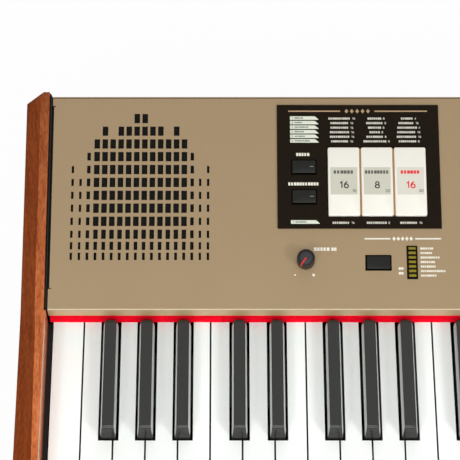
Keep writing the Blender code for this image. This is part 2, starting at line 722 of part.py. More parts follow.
def make_key_frame(metal):
    """Make the key bed: front stop, two ribs for the contact board and the rear pivot rail."""
    floor = BED_BOTTOM_Z + BED_SHEET
    outline = [(BED_Y[0], BED_BOTTOM_Z), (BED_Y[0], floor)]
    for y, thick, top in BED_RIBS:
        outline += [(y, floor), (y, top), (y + thick, top), (y + thick, floor)]
    outline += [(BED_Y[1], floor), (BED_Y[1], BED_BOTTOM_Z)]
    half = KEYS_HALF - BED_MARGIN
    return place("key_frame", extrusion("key_frame", outline, -half, half), metal)


def make_contact_board(board):
    """Make the key contact board that lies on the key bed's two ribs."""
    half = KEYS_HALF - CONTACT_BOARD_MARGIN
    return block("contact_board", (-half, CONTACT_BOARD_Y[0], CONTACT_BOARD_Z[0]),
                 (half, CONTACT_BOARD_Y[1], CONTACT_BOARD_Z[1]), board)


def make_felt(felt):
    """Make the red felt strip under the panel's lip, whose face leans out over the keys."""
    low = WHITE_TOP_Z + FELT_LIFT
    high = PANEL_FRONT_Z - LIP_HEIGHT - CLEARANCE
    outline = [(FELT_Y[0], low), (FELT_Y[1], high), (FELT_Y[2], high), (FELT_Y[2], low)]
    return place("key_felt", extrusion("key_felt", outline, -FELT_HALF, FELT_HALF), felt)


def sharp_centre(index, name):
    """X of the black key that follows a white key, by the white key's index and note name."""
    return FIRST_KEY_X + (index + 1) * WHITE_PITCH + SHARP_OFFSETS[name]


def white_notes():
    """List the white keys as (index, note name, octave), from E1 to G7."""
    notes = []
    for index in range(WHITE_COUNT):
        step = index + NATURALS.index("e")
        notes.append((index, NATURALS[step % 7], 1 + step // 7))
    return notes


def white_outline(index, name):
    """Plan outline of a white key, with its notches beside black keys."""
    low = FIRST_KEY_X + index * WHITE_PITCH + KEY_GAP / 2
    high = low + WHITE_PITCH - KEY_GAP
    shoulder = SHARP_FRONT_Y - SHOULDER_GAP
    before = NATURALS[NATURALS.index(name) - 1]
    outline = [(low, KEY_FRONT_Y), (high, KEY_FRONT_Y)]
    if name in SHARP_OFFSETS and index < WHITE_COUNT - 1:
        side = sharp_centre(index, name) - SHARP_NOTCH / 2
        outline += [(high, shoulder), (side, shoulder), (side, KEY_TAIL_Y)]
    else:
        outline.append((high, KEY_TAIL_Y))
    if before in SHARP_OFFSETS and index > 0:
        side = sharp_centre(index - 1, before) + SHARP_NOTCH / 2
        outline += [(side, KEY_TAIL_Y), (side, shoulder), (low, shoulder)]
    else:
        outline.append((low, KEY_TAIL_Y))
    return outline


def add_white_shell(bm, index, name, pivot):
    """Add the open skin of a white key: its top, turned down at every edge."""
    outline = white_outline(index, name)
    top = [bm.verts.new(Vector((x, y, WHITE_TOP_Z)) - pivot) for x, y in outline]
    bottom = [bm.verts.new(Vector((x, y, WHITE_TOP_Z - WHITE_HEIGHT)) - pivot) for x, y in outline]
    bm.faces.new(top)
    for i in range(len(top)):
        j = (i + 1) % len(top)
        bm.faces.new((top[j], top[i], bottom[i], bottom[j]))


def make_whites(node, notes, plastic):
    """Make one white key, or a comb of them joined by a bar behind the pivot line."""
    middle = FIRST_KEY_X + (notes[0][0] + notes[-1][0] + 1) / 2 * WHITE_PITCH
    pivot = Vector((middle, KEY_PIVOT_Y, KEY_PIVOT_Z))
    bm = bmesh.new()
    for index, name, _ in notes:
        add_white_shell(bm, index, name, pivot)
    item = place(node, mesh_from(node, bm), plastic, None, pivot)
    skin = item.modifiers.new("wall", "SOLIDIFY")
    skin.thickness = WHITE_WALL
    skin.offset = -1
    skin.use_even_offset = True
    if len(notes) > 1:
        low_x = FIRST_KEY_X + notes[0][0] * WHITE_PITCH + KEY_GAP
        high_x = FIRST_KEY_X + (notes[-1][0] + 1) * WHITE_PITCH - KEY_GAP
        bottom = WHITE_TOP_Z - WHITE_HEIGHT + CLEARANCE
        bar = block(node + "_bar", (low_x, COMB_BAR_Y[0], bottom),
                    (high_x, COMB_BAR_Y[1], bottom + COMB_BAR_HEIGHT))
        boolean(item, bar, "UNION")
    return item


def add_sharp_cap(bm, centre, pivot):
    """Add a black key's cap: sides that lean in near the top, a sloping front and a falling rear."""
    low_z = WHITE_TOP_Z - SHARP_SKIRT
    high_z = WHITE_TOP_Z + SHARP_RISE
    lean = (SHARP_BASE_WIDTH - SHARP_TOP_WIDTH) / 2
    sections = []
    for y, inset, lift in SHARP_STATIONS:
        half = SHARP_BASE_WIDTH / 2 - inset
        top = low_z + (high_z - low_z) * lift
        shoulder = half - lean * lift
        waist = top - SHARP_LEAN_HEIGHT * lift
        points = [(-half, low_z), (half, low_z), (half, waist), (shoulder, top - SHARP_EDGE),
                  (shoulder - SHARP_EDGE, top), (-shoulder + SHARP_EDGE, top),
                  (-shoulder, top - SHARP_EDGE), (-half, waist)]
        sections.append([Vector((centre + x, y, z)) - pivot for x, z in points])
    loft(bm, sections)


def make_sharps(node, centres, plastic):
    """Make one black key, or a comb of them joined by a bar behind the white keys' tails."""
    pivot = Vector(((centres[0] + centres[-1]) / 2, KEY_PIVOT_Y, KEY_PIVOT_Z))
    half = SHARP_TAIL_WIDTH / 2
    foot_half = half - SHARP_TAIL_INSET
    rear = KEY_TAIL_Y + SHARP_TAIL_REACH
    root = SHARP_TAIL_BOTTOM_Z + SHARP_TAIL_INSET
    caps = bmesh.new()
    tails = []
    feet = []
    for centre in centres:
        add_sharp_cap(caps, centre, pivot)
        tails.append(((centre - half, SHARP_TAIL_START_Y, SHARP_TAIL_BOTTOM_Z),
                      (centre + half, rear, SHARP_TAIL_TOP_Z)))
        feet.append(((centre - foot_half, KEY_PIVOT_Y - PIVOT_FOOT_HALF, WHITE_TOP_Z - WHITE_HEIGHT),
                     (centre + foot_half, KEY_PIVOT_Y + PIVOT_FOOT_HALF, root)))
    if len(centres) > 1:
        feet.append(((centres[0] - foot_half, KEY_TAIL_Y + SHARP_TAIL_INSET, root),
                     (centres[-1] + foot_half, rear - SHARP_TAIL_INSET, SHARP_TAIL_TOP_Z - SHARP_BAR_DROP)))
    item = place(node, mesh_from(node, caps), plastic, None, pivot)
    for label, corners in (("_tails", tails), ("_feet", feet)):
        local = [(Vector(low) - pivot, Vector(high) - pivot) for low, high in corners]
        boolean(item, place(node + label, blocks_mesh(node + label, local), None, None, pivot), "UNION")
    return item


def make_keys(white, black):
    """Make the lowest keys one by one and the higher ones as combs of an octave."""
    notes = white_notes()
    sharps = [(sharp_centre(index, name), name, octave) for index, name, octave in notes
              if name in SHARP_OFFSETS and index < WHITE_COUNT - 1]
    for index, name, octave in notes[:SINGLE_KEY_COUNT]:
        make_whites(f"key_{name}{octave}", [(index, name, octave)], white)
    for centre, name, octave in sharps:
        if octave <= SINGLE_SHARP_OCTAVE:
            make_sharps(f"key_{name}{octave}_sharp", [centre], black)
    for octave, last in COMB_OCTAVES:
        make_whites(f"naturals_{octave}", [n for n in notes if octave <= n[2] <= last], white)
        make_sharps(f"sharps_{octave}", [s[0] for s in sharps if octave <= s[2] <= last], black)


def main():
    """Build the whole instrument."""
    clear_scene()
    wood = finish("cherry_wood", (150, 78, 40), 0.35)
    metal = finish("champagne_metal", (166, 144, 113), 0.45, 0.3)
    steel = finish("black_steel", (38, 36, 34), 0.5, 0.4)
    black = finish("black_plastic", (42, 42, 40), 0.4)
    white = finish("white_plastic", (249, 250, 244), 0.25)
    ivory = finish("ivory_plastic", (249, 247, 238), 0.3)
    plate = finish("dark_brown_plate", (35, 27, 20), 0.5)
    felt = finish("red_felt", (235, 15, 35), 0.95)
    rubber = finish("black_rubber", (28, 28, 28), 0.85)
    board = finish("green_board", (30, 82, 50), 0.5)
    paper = finish("black_paper", (24, 24, 25), 0.8)

    plane = make_panel_plane()
    for name, side in (("left", -1), ("right", 1)):
        make_cheek(name + "_cheek", side, wood)
        make_foot_strip(name + "_foot_strip", side, rubber)
        make_key_block(name + "_key_block", side, black)
        make_speaker(name + "_speaker", side * GRILLE_X, paper, plane)
    make_base_pan(steel)
    make_front_rail(wood)
    make_top_panel(metal, plane)
    make_felt(felt)
    make_key_frame(metal)
    make_contact_board(board)
    make_stop_plate("pedal_stop_plate", -1, plate, plane)
    make_stop_plate("manual_stop_plate", 1, plate, plane)
    for number, low_x in enumerate(TAB_X, start=1):
        make_tab(f"pedal_tab_{number}", low_x, ivory, plane)
        make_tab(f"manual_tab_{number}", -TAB_X[-number] - TAB_WIDTH, ivory, plane)
    make_button("pedal_button_upper", BUTTON_X, BUTTON_UPPER_T, BUTTON_TOP, black, plane)
    make_button("pedal_button_lower", BUTTON_X, BUTTON_LOWER_T, BUTTON_TOP, black, plane)
    make_button("preset_button", PRESET_X, PRESET_T, PRESET_TOP, black, plane)
    make_knob("input_knob", KNOB_X, KNOB_T, INPUT_KNOB_BASE, black, plane)
    make_knob("volume_knob", VOLUME_X, VOLUME_T, VOLUME_KNOB_BASE, black, plane)
    make_light_board(board, plane)
    make_main_board(board)
    make_power_supply(steel)
    make_socket_block(black)
    make_power_button(black)
    make_keys(white, black)


main()
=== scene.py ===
"""The looks of a one-manual portable digital organ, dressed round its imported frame.

The organ stands on +Z, with the player at -Y and the bass end at -X. Sizes are in metres.
Pieces on the control panel are placed by panel coordinates: across, up the slope, and height
over the painted metal.
"""

import logging
import math
from dataclasses import dataclass, field
from enum import Enum
from functools import lru_cache
from typing import Callable, Iterable, Sequence

import bmesh
import bpy
from mathutils import Matrix, Vector, noise


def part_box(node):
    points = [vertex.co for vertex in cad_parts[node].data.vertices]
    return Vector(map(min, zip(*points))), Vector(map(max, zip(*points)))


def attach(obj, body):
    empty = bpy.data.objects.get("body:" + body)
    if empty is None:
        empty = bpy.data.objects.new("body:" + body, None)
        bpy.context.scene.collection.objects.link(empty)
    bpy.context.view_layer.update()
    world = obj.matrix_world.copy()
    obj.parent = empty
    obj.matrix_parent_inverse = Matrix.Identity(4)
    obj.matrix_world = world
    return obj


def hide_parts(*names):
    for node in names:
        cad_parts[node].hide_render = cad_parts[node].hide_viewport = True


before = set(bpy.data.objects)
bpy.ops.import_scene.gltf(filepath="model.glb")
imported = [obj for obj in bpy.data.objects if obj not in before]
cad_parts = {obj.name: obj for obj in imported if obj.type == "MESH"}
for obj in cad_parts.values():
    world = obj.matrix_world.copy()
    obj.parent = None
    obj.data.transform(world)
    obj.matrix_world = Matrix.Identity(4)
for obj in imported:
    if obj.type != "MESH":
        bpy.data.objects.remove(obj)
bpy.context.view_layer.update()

LOG = logging.getLogger("organ")
CASE = "case"
# AIR keeps faces apart that would otherwise coincide, and OVERPRINT lifts one print over another.
AIR = 0.00003
LINING_STEP = 0.0017
PRINT_THICK = 0.00006
OVERPRINT = PRINT_THICK + AIR / 3
SHARP_ANGLE = 32.0
WELD_REACH = 0.000005

Rgb = tuple[int, int, int]
Flat = tuple[float, float]
Solid = tuple[float, float, float]
Pattern = tuple[float, float, float, float]
Socket = bpy.types.NodeSocket
EdgeTest = Callable[[bmesh.types.BMEdge], bool]


class End(Enum):
    """The two ends of the keyboard."""

    BASS = -1
    TREBLE = 1

    @property
    def word(self) -> str:
        """The side as the frame's node names say it."""
        return "left" if self is End.BASS else "right"


def linear(colour: Rgb, gain: float = 1.0) -> tuple[float, float, float, float]:
    """Turn an sRGB colour into the linear one that a shader takes.

    Args:
        colour: Red, green and blue from 0 to 255.
        gain: A factor on the linear values.

    Returns:
        Linear red, green, blue and an alpha of 1.
    """
    shares = [value / 255 for value in colour]
    steps = [s / 12.92 if s <= 0.04045 else ((s + 0.055) / 1.055) ** 2.4 for s in shares]
    red, green, blue = (min(1.0, step * gain) for step in steps)
    return red, green, blue, 1.0


def wave_scale(pitch: float) -> float:
    """Give the scale at which Blender's wave texture repeats at a pitch in metres."""
    return math.pi / pitch / 20


class Graph:
    """A node tree, with short calls that add and join its nodes."""

    def __init__(self, tree: bpy.types.NodeTree) -> None:
        """Take up a node tree."""
        self.tree = tree

    def add(self, kind: str, inputs: dict, **settings: object) -> bpy.types.Node:
        """Add a node.

        Args:
            kind: Blender's name for the node type.
            inputs: Socket name or number to a value, or to another node's output.
            settings: The node's own properties.

        Returns:
            The new node.
        """
        node = self.tree.nodes.new(kind)
        for key, value in settings.items():
            setattr(node, key, value)
        for key, value in inputs.items():
            if isinstance(value, Socket):
                self.tree.links.new(value, node.inputs[key])
            else:
                node.inputs[key].default_value = value
        return node

    def maths(self, operation: str, first: Socket, second: Socket | float = 0.0) -> Socket:
        """Join two values by an operation of Blender's Math node."""
        return self.add("ShaderNodeMath", {0: first, 1: second}, operation=operation).outputs[0]


class Nodes(Graph):
    """The shader nodes of one material, round its Principled shader."""

    def __init__(self, name: str) -> None:
        """Start a material with a Principled shader.

        Args:
            name: The material's name.
        """
        self.material = bpy.data.materials.new(name)
        self.material.use_nodes = True
        super().__init__(self.material.node_tree)
        self.shader = self.tree.nodes["Principled BSDF"]

    def set(self, **values: float) -> None:
        """Set plain numbers on the shader's own sockets, with _ for a space in a name."""
        for key, value in values.items():
            self.shader.inputs[key.replace("_", " ")].default_value = value

    def feed(self, socket: str, value: Socket) -> None:
        """Join a node's output to one of the shader's sockets."""
        self.tree.links.new(value, self.shader.inputs[socket])

    def where(self, stretch: Solid = (1.0, 1.0, 1.0)) -> Socket:
        """Give the piece's own coordinates, stretched along the axes."""
        coords = self.add("ShaderNodeTexCoord", {}).outputs["Object"]
        return self.add("ShaderNodeMapping", {"Vector": coords, "Scale": stretch}).outputs["Vector"]

    def noise(self, where: Socket, scale: float, detail: float = 3.0, distortion: float = 0.0) -> Socket:
        """Give a noise value from 0 to 1."""
        inputs = {"Vector": where, "Scale": scale, "Detail": detail, "Distortion": distortion}
        return self.add("ShaderNodeTexNoise", inputs).outputs["Fac"]

    def span(self, value: Socket, low: float, high: float, start: float = 0.3, stop: float = 0.7) -> Socket:
        """Map a value between start and stop onto low to high."""
        inputs = {"Value": value, "From Min": start, "From Max": stop, "To Min": low, "To Max": high}
        return self.add("ShaderNodeMapRange", inputs).outputs["Result"]

    def ramp(self, value: Socket, stops: Sequence[tuple[float, tuple]]) -> Socket:
        """Turn a value into a colour through a ramp.

        Args:
            value: The value, from 0 to 1.
            stops: Each stop's place on the ramp and its colour.

        Returns:
            The colour.
        """
        node = self.add("ShaderNodeValToRGB", {"Fac": value})
        elements = node.color_ramp.elements
        while len(elements) < len(stops):
            elements.new(0.5)
        for element, (place, colour) in zip(elements, stops):
            element.position = place
            element.color = colour
        return node.outputs["Color"]

    def parts(self, vector: Socket) -> bpy.types.NodeOutputs:
        """Split a vector into outputs named X, Y and Z."""
        return self.add("ShaderNodeSeparateXYZ", {0: vector}).outputs

    def facing(self, name: str = "Normal") -> bpy.types.NodeOutputs:
        """Split the surface's smooth Normal, or its flat True Normal, into X, Y and Z."""
        return self.parts(self.add("ShaderNodeNewGeometry", {}).outputs[name])

    def blend(self, share: Socket | float, first: object, second: object, kind: str = "MIX") -> Socket:
        """Mix two colours by a share from 0 to 1."""
        inputs = {0: share, 6: first, 7: second}
        return self.add("ShaderNodeMix", inputs, data_type="RGBA", blend_type=kind).outputs[2]

    def scaled(self, colour: Socket, gain: Socket) -> Socket:
        """Make a colour lighter or darker by a factor."""
        return self.add("ShaderNodeVectorMath", {0: colour, "Scale": gain}, operation="SCALE").outputs[0]

    def base(self) -> Socket:
        """Give the output that feeds the shader's base colour."""
        return self.shader.inputs["Base Color"].links[0].from_socket

    def bump(self, height: Socket, depth: float) -> Socket:
        """Turn a height value into a bumped normal."""
        inputs = {"Height": height, "Distance": depth, "Strength": 1.0}
        return self.add("ShaderNodeBump", inputs).outputs["Normal"]


@dataclass(frozen=True)
class Finish:
    """A moulded, painted or printed finish with a faint mottle and a fine grain."""

    name: str
    slot: str
    colour: Rgb
    roughness: float = 0.45
    metallic: float = 0.0
    coat: float = 0.0
    specular: float = 0.5
    mottle: float = 0.04
    mottle_scale: float = 45.0
    grain_scale: float = 1600.0
    grain_depth: float = 0.00001
    roughness_swing: float = 0.04
    coat_roughness: float = 0.08
    wear_fineness: float = 2.3

    def mottled(self, nodes: Nodes, mottle: Socket) -> Socket:
        """Give the finish's colour, made darker and lighter by a mottle."""
        dark, light = linear(self.colour, 1 - self.mottle), linear(self.colour, 1 + self.mottle)
        return nodes.ramp(mottle, ((0.3, dark), (0.7, light)))

    def worn(self, nodes: Nodes, wear: Socket, *zone: float) -> None:
        """Let a value swing the roughness, from one end of the value's zone to the other."""
        low, high = self.roughness - self.roughness_swing, self.roughness + self.roughness_swing
        nodes.feed("Roughness", nodes.span(wear, low, high, *zone))

    def dress(self, nodes: Nodes) -> None:
        """Add this finish's nodes to a material.

        Args:
            nodes: The material's nodes.
        """
        nodes.set(Metallic=self.metallic, Specular_IOR_Level=self.specular, Coat_Weight=self.coat,
                  Coat_Roughness=self.coat_roughness)
        where = nodes.where()
        nodes.feed("Base Color", self.mottled(nodes, nodes.noise(where, self.mottle_scale)))
        self.worn(nodes, nodes.noise(where, self.mottle_scale * self.wear_fineness))
        grain = nodes.noise(where, self.grain_scale, 2.0)
        nodes.feed("Normal", nodes.bump(grain, self.grain_depth))

    def material(self) -> bpy.types.Material:
        """Give the finish's material, made once."""
        return made_material(self)


@dataclass(frozen=True)
class WoodFinish(Finish):
    """Stained and lacquered hardwood: darker end grain, and painted shade on its slopes, sides and rear edge.

    A pattern is how far it is drawn out along the grain, then its scale, detail and distortion.
    A zone is where a change begins and ends. The lengthwise and panel zones are places along Y, and the
    rear and front zones are values of the normal's Y. The others are X times the normal's X, which
    is positive where a cheek faces outward and negative where it faces the keys.
    """

    bands: Pattern = (0.07, 210.0, 5.0, 0.7)
    flecks: Pattern = (0.26, 760.0, 3.0, 0.4)
    pores: Pattern = (0.025, 1500.0, 2.0, 0.0)
    pore_shade: float = 0.82
    dark: Rgb = (150, 75, 39)
    light: Rgb = (194, 111, 66)
    # Painted shade: the outer slope's colour is multiplied by this.
    slope: Rgb = (207, 183, 148)
    # Painted highlight: the pale strip along the rounded edge beside the keys.
    rubbed: Rgb = (200, 180, 158)
    rubbed_share: float = 0.9
    # The flat top is made lighter towards the front and darker towards the rear by this share.
    fade: float = 0.36
    lacquer: float = 0.9
    # Painted shade: the cheek's outer side is darkened by this factor.
    side_gain: float = 0.55
    # Darker rear end: partly the end grain's own tone, partly painted shade along the rear edge.
    end_grain: float = 0.5
    # Darker where the wood faces the front.
    front_gain: float = 0.62
    grain_axis: int = 1
    ior: float = 1.08
    roughness_swing: float = 0.06
    coat_roughness: float = 0.3
    fade_zone: Flat = (-0.10, 0.155)
    slope_zone: Flat = (0.10, 0.34)
    side_zone: Flat = (0.47, 0.54)
    rear_zone: Flat = (0.20, 0.60)
    front_zone: Flat = (-0.50, -0.95)
    edge_zone: Flat = (-0.08, -0.20)
    inner_zone: Flat = (-0.44, -0.50)
    panel_zone: Flat = (-0.022, -0.006)
    lacquer_zone: Flat = (-0.35, -0.12)

    def drawn_out(self, nodes: Nodes, pattern: Pattern) -> Socket:
        """Give a noise that is drawn out along the grain.

        Args:
            nodes: The material's nodes.
            pattern: The noise to draw out.

        Returns:
            The noise's value.
        """
        share, scale, detail, distortion = pattern
        stretch = tuple(share if axis == self.grain_axis else 1.0 for axis in range(3))
        return nodes.noise(nodes.where(stretch), scale, detail, distortion)

    def grain(self, nodes: Nodes) -> Socket:
        """Give the wood's colour, with its bands, flecks and pores, and set its bump.

        Args:
            nodes: The material's nodes.

        Returns:
            The colour.
        """
        bands = self.drawn_out(nodes, self.bands)
        flecks = self.drawn_out(nodes, self.flecks)
        figure = nodes.span(nodes.maths("ADD", bands, flecks), 0.0, 1.0, 0.70, 1.30)
        stops = ((0.15, linear(self.dark)), (0.50, linear(self.colour)), (0.85, linear(self.light)))
        pores = self.drawn_out(nodes, self.pores)
        self.worn(nodes, bands)
        nodes.feed("Normal", nodes.bump(pores, self.grain_depth))
        return nodes.scaled(nodes.ramp(figure, stops), nodes.span(pores, self.pore_shade, 1.0, 0.34, 0.5))

    def dress(self, nodes: Nodes) -> None:
        """Add the grain, painted shade on the slopes, and painted highlight and lacquer on the edge by the
        keys.

        Args:
            nodes: The material's nodes.
        """
        nodes.set(Specular_IOR_Level=self.specular, IOR=self.ior, Coat_Roughness=self.coat_roughness)
        grain = self.grain(nodes)
        place = nodes.parts(nodes.where())
        outward = nodes.maths("MULTIPLY", place["X"], nodes.facing()["X"])
        # Lighter towards the front and darker towards the rear, along Y.
        flat = nodes.scaled(grain, nodes.span(place["Y"], 1 + self.fade, 1 - self.fade, *self.fade_zone))
        # Painted shade: the outer slope and the outer side are darker than the flat top.
        shaded_slope = nodes.blend(1.0, grain, linear(self.slope), "MULTIPLY")
        colour = nodes.blend(nodes.span(outward, 0.0, 1.0, *self.slope_zone), flat, shaded_slope)
        colour = nodes.scaled(colour, nodes.span(outward, 1.0, self.side_gain, *self.side_zone))
        toward = nodes.facing()["Y"]
        # Rear-facing faces are darker: end grain, and painted shade on the rear edge.
        colour = nodes.scaled(colour, nodes.span(toward, 1.0, self.end_grain, *self.rear_zone))
        colour = nodes.scaled(colour, nodes.span(toward, 1.0, self.front_gain, *self.front_zone))
        # Painted highlight on the rounded inner edge, in front of the panel.
        edge = nodes.maths("MULTIPLY", nodes.span(outward, 0.0, self.rubbed_share, *self.edge_zone),
                           nodes.span(outward, 1.0, 0.0, *self.inner_zone))
        rubbed = nodes.maths("MULTIPLY", edge, nodes.span(place["Y"], 1.0, 0.0, *self.panel_zone))
        nodes.feed("Base Color", nodes.blend(rubbed, colour, linear(self.rubbed)))
        nodes.feed("Coat Weight", nodes.span(outward, self.lacquer, 0.0, *self.lacquer_zone))


@dataclass(frozen=True)
class FoldedFinish(Finish):
    """Painted sheet metal: painted highlight on its front fold and lip, painted shade on its slot walls."""

    # Painted highlight: the lip is lighter by this factor, and the fold takes the pale fold colour.
    lip_gain: float = 1.55
    fold: Rgb = (178, 161, 132)
    # Painted shade: the colour of the walls of the slots.
    cut: Rgb = (20, 18, 16)
    fold_start: Flat = (0.0866, 0.0872)
    fold_end: Flat = (0.0892, 0.0898)
    face_start: Flat = (0.0899, 0.0901)
    steep: Flat = (0.5, 0.6)

    def dress(self, nodes: Nodes) -> None:
        """Add the paint, and tell the fold, the lip and the slot walls from the face by the sum of Y and Z.

        Args:
            nodes: The material's nodes.
        """
        super().dress(nodes)
        place = nodes.parts(nodes.where())
        depth = nodes.maths("ADD", place["Y"], place["Z"])
        # Painted highlight on the lip and on the front fold.
        lip = nodes.span(depth, self.lip_gain, 1.0, *self.fold_start)
        fold = nodes.maths("MULTIPLY", nodes.span(depth, 0.0, 1.0, *self.fold_start),
                           nodes.span(depth, 1.0, 0.0, *self.fold_end))
        colour = nodes.blend(fold, nodes.scaled(nodes.base(), lip), linear(self.fold))
        # Painted shade on faces behind the fold that look neither up nor back, such as the slot walls.
        flat = nodes.facing("True Normal")
        wall = nodes.maths("MULTIPLY", nodes.span(flat["Z"], 1.0, 0.0, *self.steep),
                           nodes.span(flat["Y"], 1.0, 0.0, *self.steep))
        wall = nodes.maths("MULTIPLY", wall, nodes.span(depth, 0.0, 1.0, *self.face_start))
        nodes.feed("Base Color", nodes.blend(wall, colour, linear(self.cut)))


@dataclass(frozen=True)
class SharpFinish(Finish):
    """Black key plastic, polished on its leaning sides."""

    polish: float = 2.8
    lean: Flat = (0.60, 0.90)

    def dress(self, nodes: Nodes) -> None:
        """Add the plastic, and a full coat where the key leans.

        Args:
            nodes: The material's nodes.
        """
        super().dress(nodes)
        lean = nodes.maths("ABSOLUTE", nodes.facing()["X"])
        nodes.set(Coat_IOR=self.polish)
        nodes.feed("Coat Weight", nodes.span(lean, self.coat, 1.0, *self.lean))


@dataclass(frozen=True)
class CapFinish(Finish):
    """Matt button plastic, with painted shade on its walls and a painted highlight on its front edge."""

    # Painted shade: the colour of the walls, which stand in the dark gap round the cap.
    wall: Rgb = (8, 8, 7)
    edge_gain: float = 1.9
    edge_lean: Flat = (-0.24, -0.50)
    wall_lean: Flat = (0.15, 0.50)

    def dress(self, nodes: Nodes) -> None:
        """Add the plastic, and tell walls and edge by the way they face.

        Args:
            nodes: The material's nodes.
        """
        super().dress(nodes)
        # Painted highlight on the front edge, and painted shade on the walls.
        edge = nodes.span(nodes.facing()["Y"], 1.0, self.edge_gain, *self.edge_lean)
        wall = nodes.span(nodes.facing()["Z"], 1.0, 0.0, *self.wall_lean)
        nodes.feed("Base Color", nodes.blend(wall, nodes.scaled(nodes.base(), edge), linear(self.wall)))


@dataclass(frozen=True)
class FeltFinish(Finish):
    """Pressed wool felt, with a soft sheen and a lint of short fibres, and painted light towards its foot.

    Foot, middle and head are each a height in the frame and the painted brightness there.
    """

    # Painted light: the brightness rises from the head towards the foot.
    foot: Flat = (0.0754, 1.9)
    middle: Flat = (0.0764, 1.35)
    head: Flat = (0.0840, 1.0)
    lint: Pattern = (2.4, 2600.0, 5.0, 1.2)
    clump_scale: float = 160.0
    sheen: float = 0.02
    sheen_roughness: float = 0.5
    rough: Flat = (0.88, 1.0)

    def dress(self, nodes: Nodes) -> None:
        """Add the fibres, their uneven tone and the painted light towards the foot.

        Args:
            nodes: The material's nodes.
        """
        nodes.set(Specular_IOR_Level=self.specular, Sheen_Weight=self.sheen,
                  Sheen_Roughness=self.sheen_roughness)
        stretch, scale, detail, distortion = self.lint
        fibres = nodes.noise(nodes.where((1.0, 1.0, stretch)), scale, detail, distortion)
        height = nodes.parts(nodes.where())["Z"]
        # Painted light: the felt is brighter towards its foot.
        lower = nodes.span(height, self.foot[1] / self.middle[1], 1.0, self.foot[0], self.middle[0])
        upper = nodes.span(height, self.middle[1], self.head[1], self.middle[0], self.head[0])
        clumps = self.mottled(nodes, nodes.noise(nodes.where(), self.clump_scale))
        nodes.feed("Base Color", nodes.scaled(clumps, nodes.maths("MULTIPLY", lower, upper)))
        nodes.feed("Roughness", nodes.span(fibres, *self.rough))
        nodes.feed("Normal", nodes.bump(fibres, self.grain_depth))


@dataclass(frozen=True)
class WeaveFinish(Finish):
    """A fine open weave, like loudspeaker cloth."""

    pitch: float = 0.0006
    shades: Flat = (0.4, 1.3)

    def dress(self, nodes: Nodes) -> None:
        """Cross two sets of threads.

        Args:
            nodes: The material's nodes.
        """
        inputs = {"Vector": nodes.where(), "Scale": wave_scale(self.pitch)}
        warp, weft = (nodes.add("ShaderNodeTexWave", inputs, bands_direction=axis).outputs["Fac"]
                      for axis in ("X", "Y"))
        cross = nodes.maths("MULTIPLY", warp, weft)
        dark, light = (linear(self.colour, gain) for gain in self.shades)
        nodes.set(Specular_IOR_Level=self.specular)
        nodes.feed("Base Color", nodes.ramp(cross, ((0.1, dark), (0.8, light))))
        nodes.feed("Roughness", nodes.span(cross, 0.8, 1.0))
        nodes.feed("Normal", nodes.bump(cross, self.grain_depth))


@dataclass(frozen=True)
class SpunFinish(Finish):
    """Turned plastic or metal with fine rings about its own Z axis, a painted highlight towards the middle.
    """

    ring_pitch: float = 0.0007
    ring_waver: float = 0.4
    ring_shades: Flat = (0.75, 1.25)
    dish: Flat = (0.0040, 0.0050)
    # Painted highlight: the gain inside the dish.
    dish_gain: float = 2.6
    wall_lean: Flat = (0.4, 0.9)
    # Painted shade: the gain on the knob's side.
    wall_gain: float = 0.4
    roughness_swing: float = 0.05

    def dress(self, nodes: Nodes) -> None:
        """Add the rings left by the lathe, a painted highlight in the dish and painted shade on the side.

        Args:
            nodes: The material's nodes.
        """
        nodes.set(Metallic=self.metallic, Specular_IOR_Level=self.specular, Coat_Weight=self.coat)
        inputs = {"Vector": nodes.where(), "Scale": wave_scale(self.ring_pitch),
                  "Distortion": self.ring_waver}
        rings = nodes.add("ShaderNodeTexWave", inputs, wave_type="RINGS", rings_direction="Z").outputs["Fac"]
        dark, light = (linear(self.colour, gain) for gain in self.ring_shades)
        flat = {0: nodes.where((1.0, 1.0, 0.0))}
        radius = nodes.add("ShaderNodeVectorMath", flat, operation="LENGTH").outputs["Value"]
        # Painted highlight inside the dish, and painted shade on the side where the normal leans.
        gain = nodes.maths("MULTIPLY", nodes.span(radius, self.dish_gain, 1.0, *self.dish),
                           nodes.span(nodes.facing()["Z"], self.wall_gain, 1.0, *self.wall_lean))
        nodes.feed("Base Color", nodes.scaled(nodes.ramp(rings, ((0.0, dark), (1.0, light))), gain))
        self.worn(nodes, rings, 0.0, 1.0)
        nodes.feed("Normal", nodes.bump(rings, self.grain_depth))


@dataclass(frozen=True)
class KeyFinish(Finish):
    """Glossy white key plastic, painted cyan beside the red felt to offset the red light bounced from it."""

    # Painted light: a cyan tint that offsets the red light the felt bounces onto the keys.
    cool: Rgb = (228, 252, 250)
    cool_zone: Flat = (-0.032, -0.006)

    def dress(self, nodes: Nodes) -> None:
        """Add the plastic and the painted cyan tint at its rear end.

        Args:
            nodes: The material's nodes.
        """
        super().dress(nodes)
        # Painted light: the cyan tint rises towards the felt.
        share = nodes.span(nodes.parts(nodes.where())["Y"], 0.0, 1.0, *self.cool_zone)
        nodes.feed("Base Color", nodes.blend(share, nodes.base(), linear(self.cool)))


@lru_cache(maxsize=None)
def made_material(finish: Finish) -> bpy.types.Material:
    """Make a finish's material the first time it is asked for.

    Args:
        finish: The finish to dress.

    Returns:
        The material.
    """
    nodes = Nodes(finish.name)
    finish.dress(nodes)
    return nodes.material


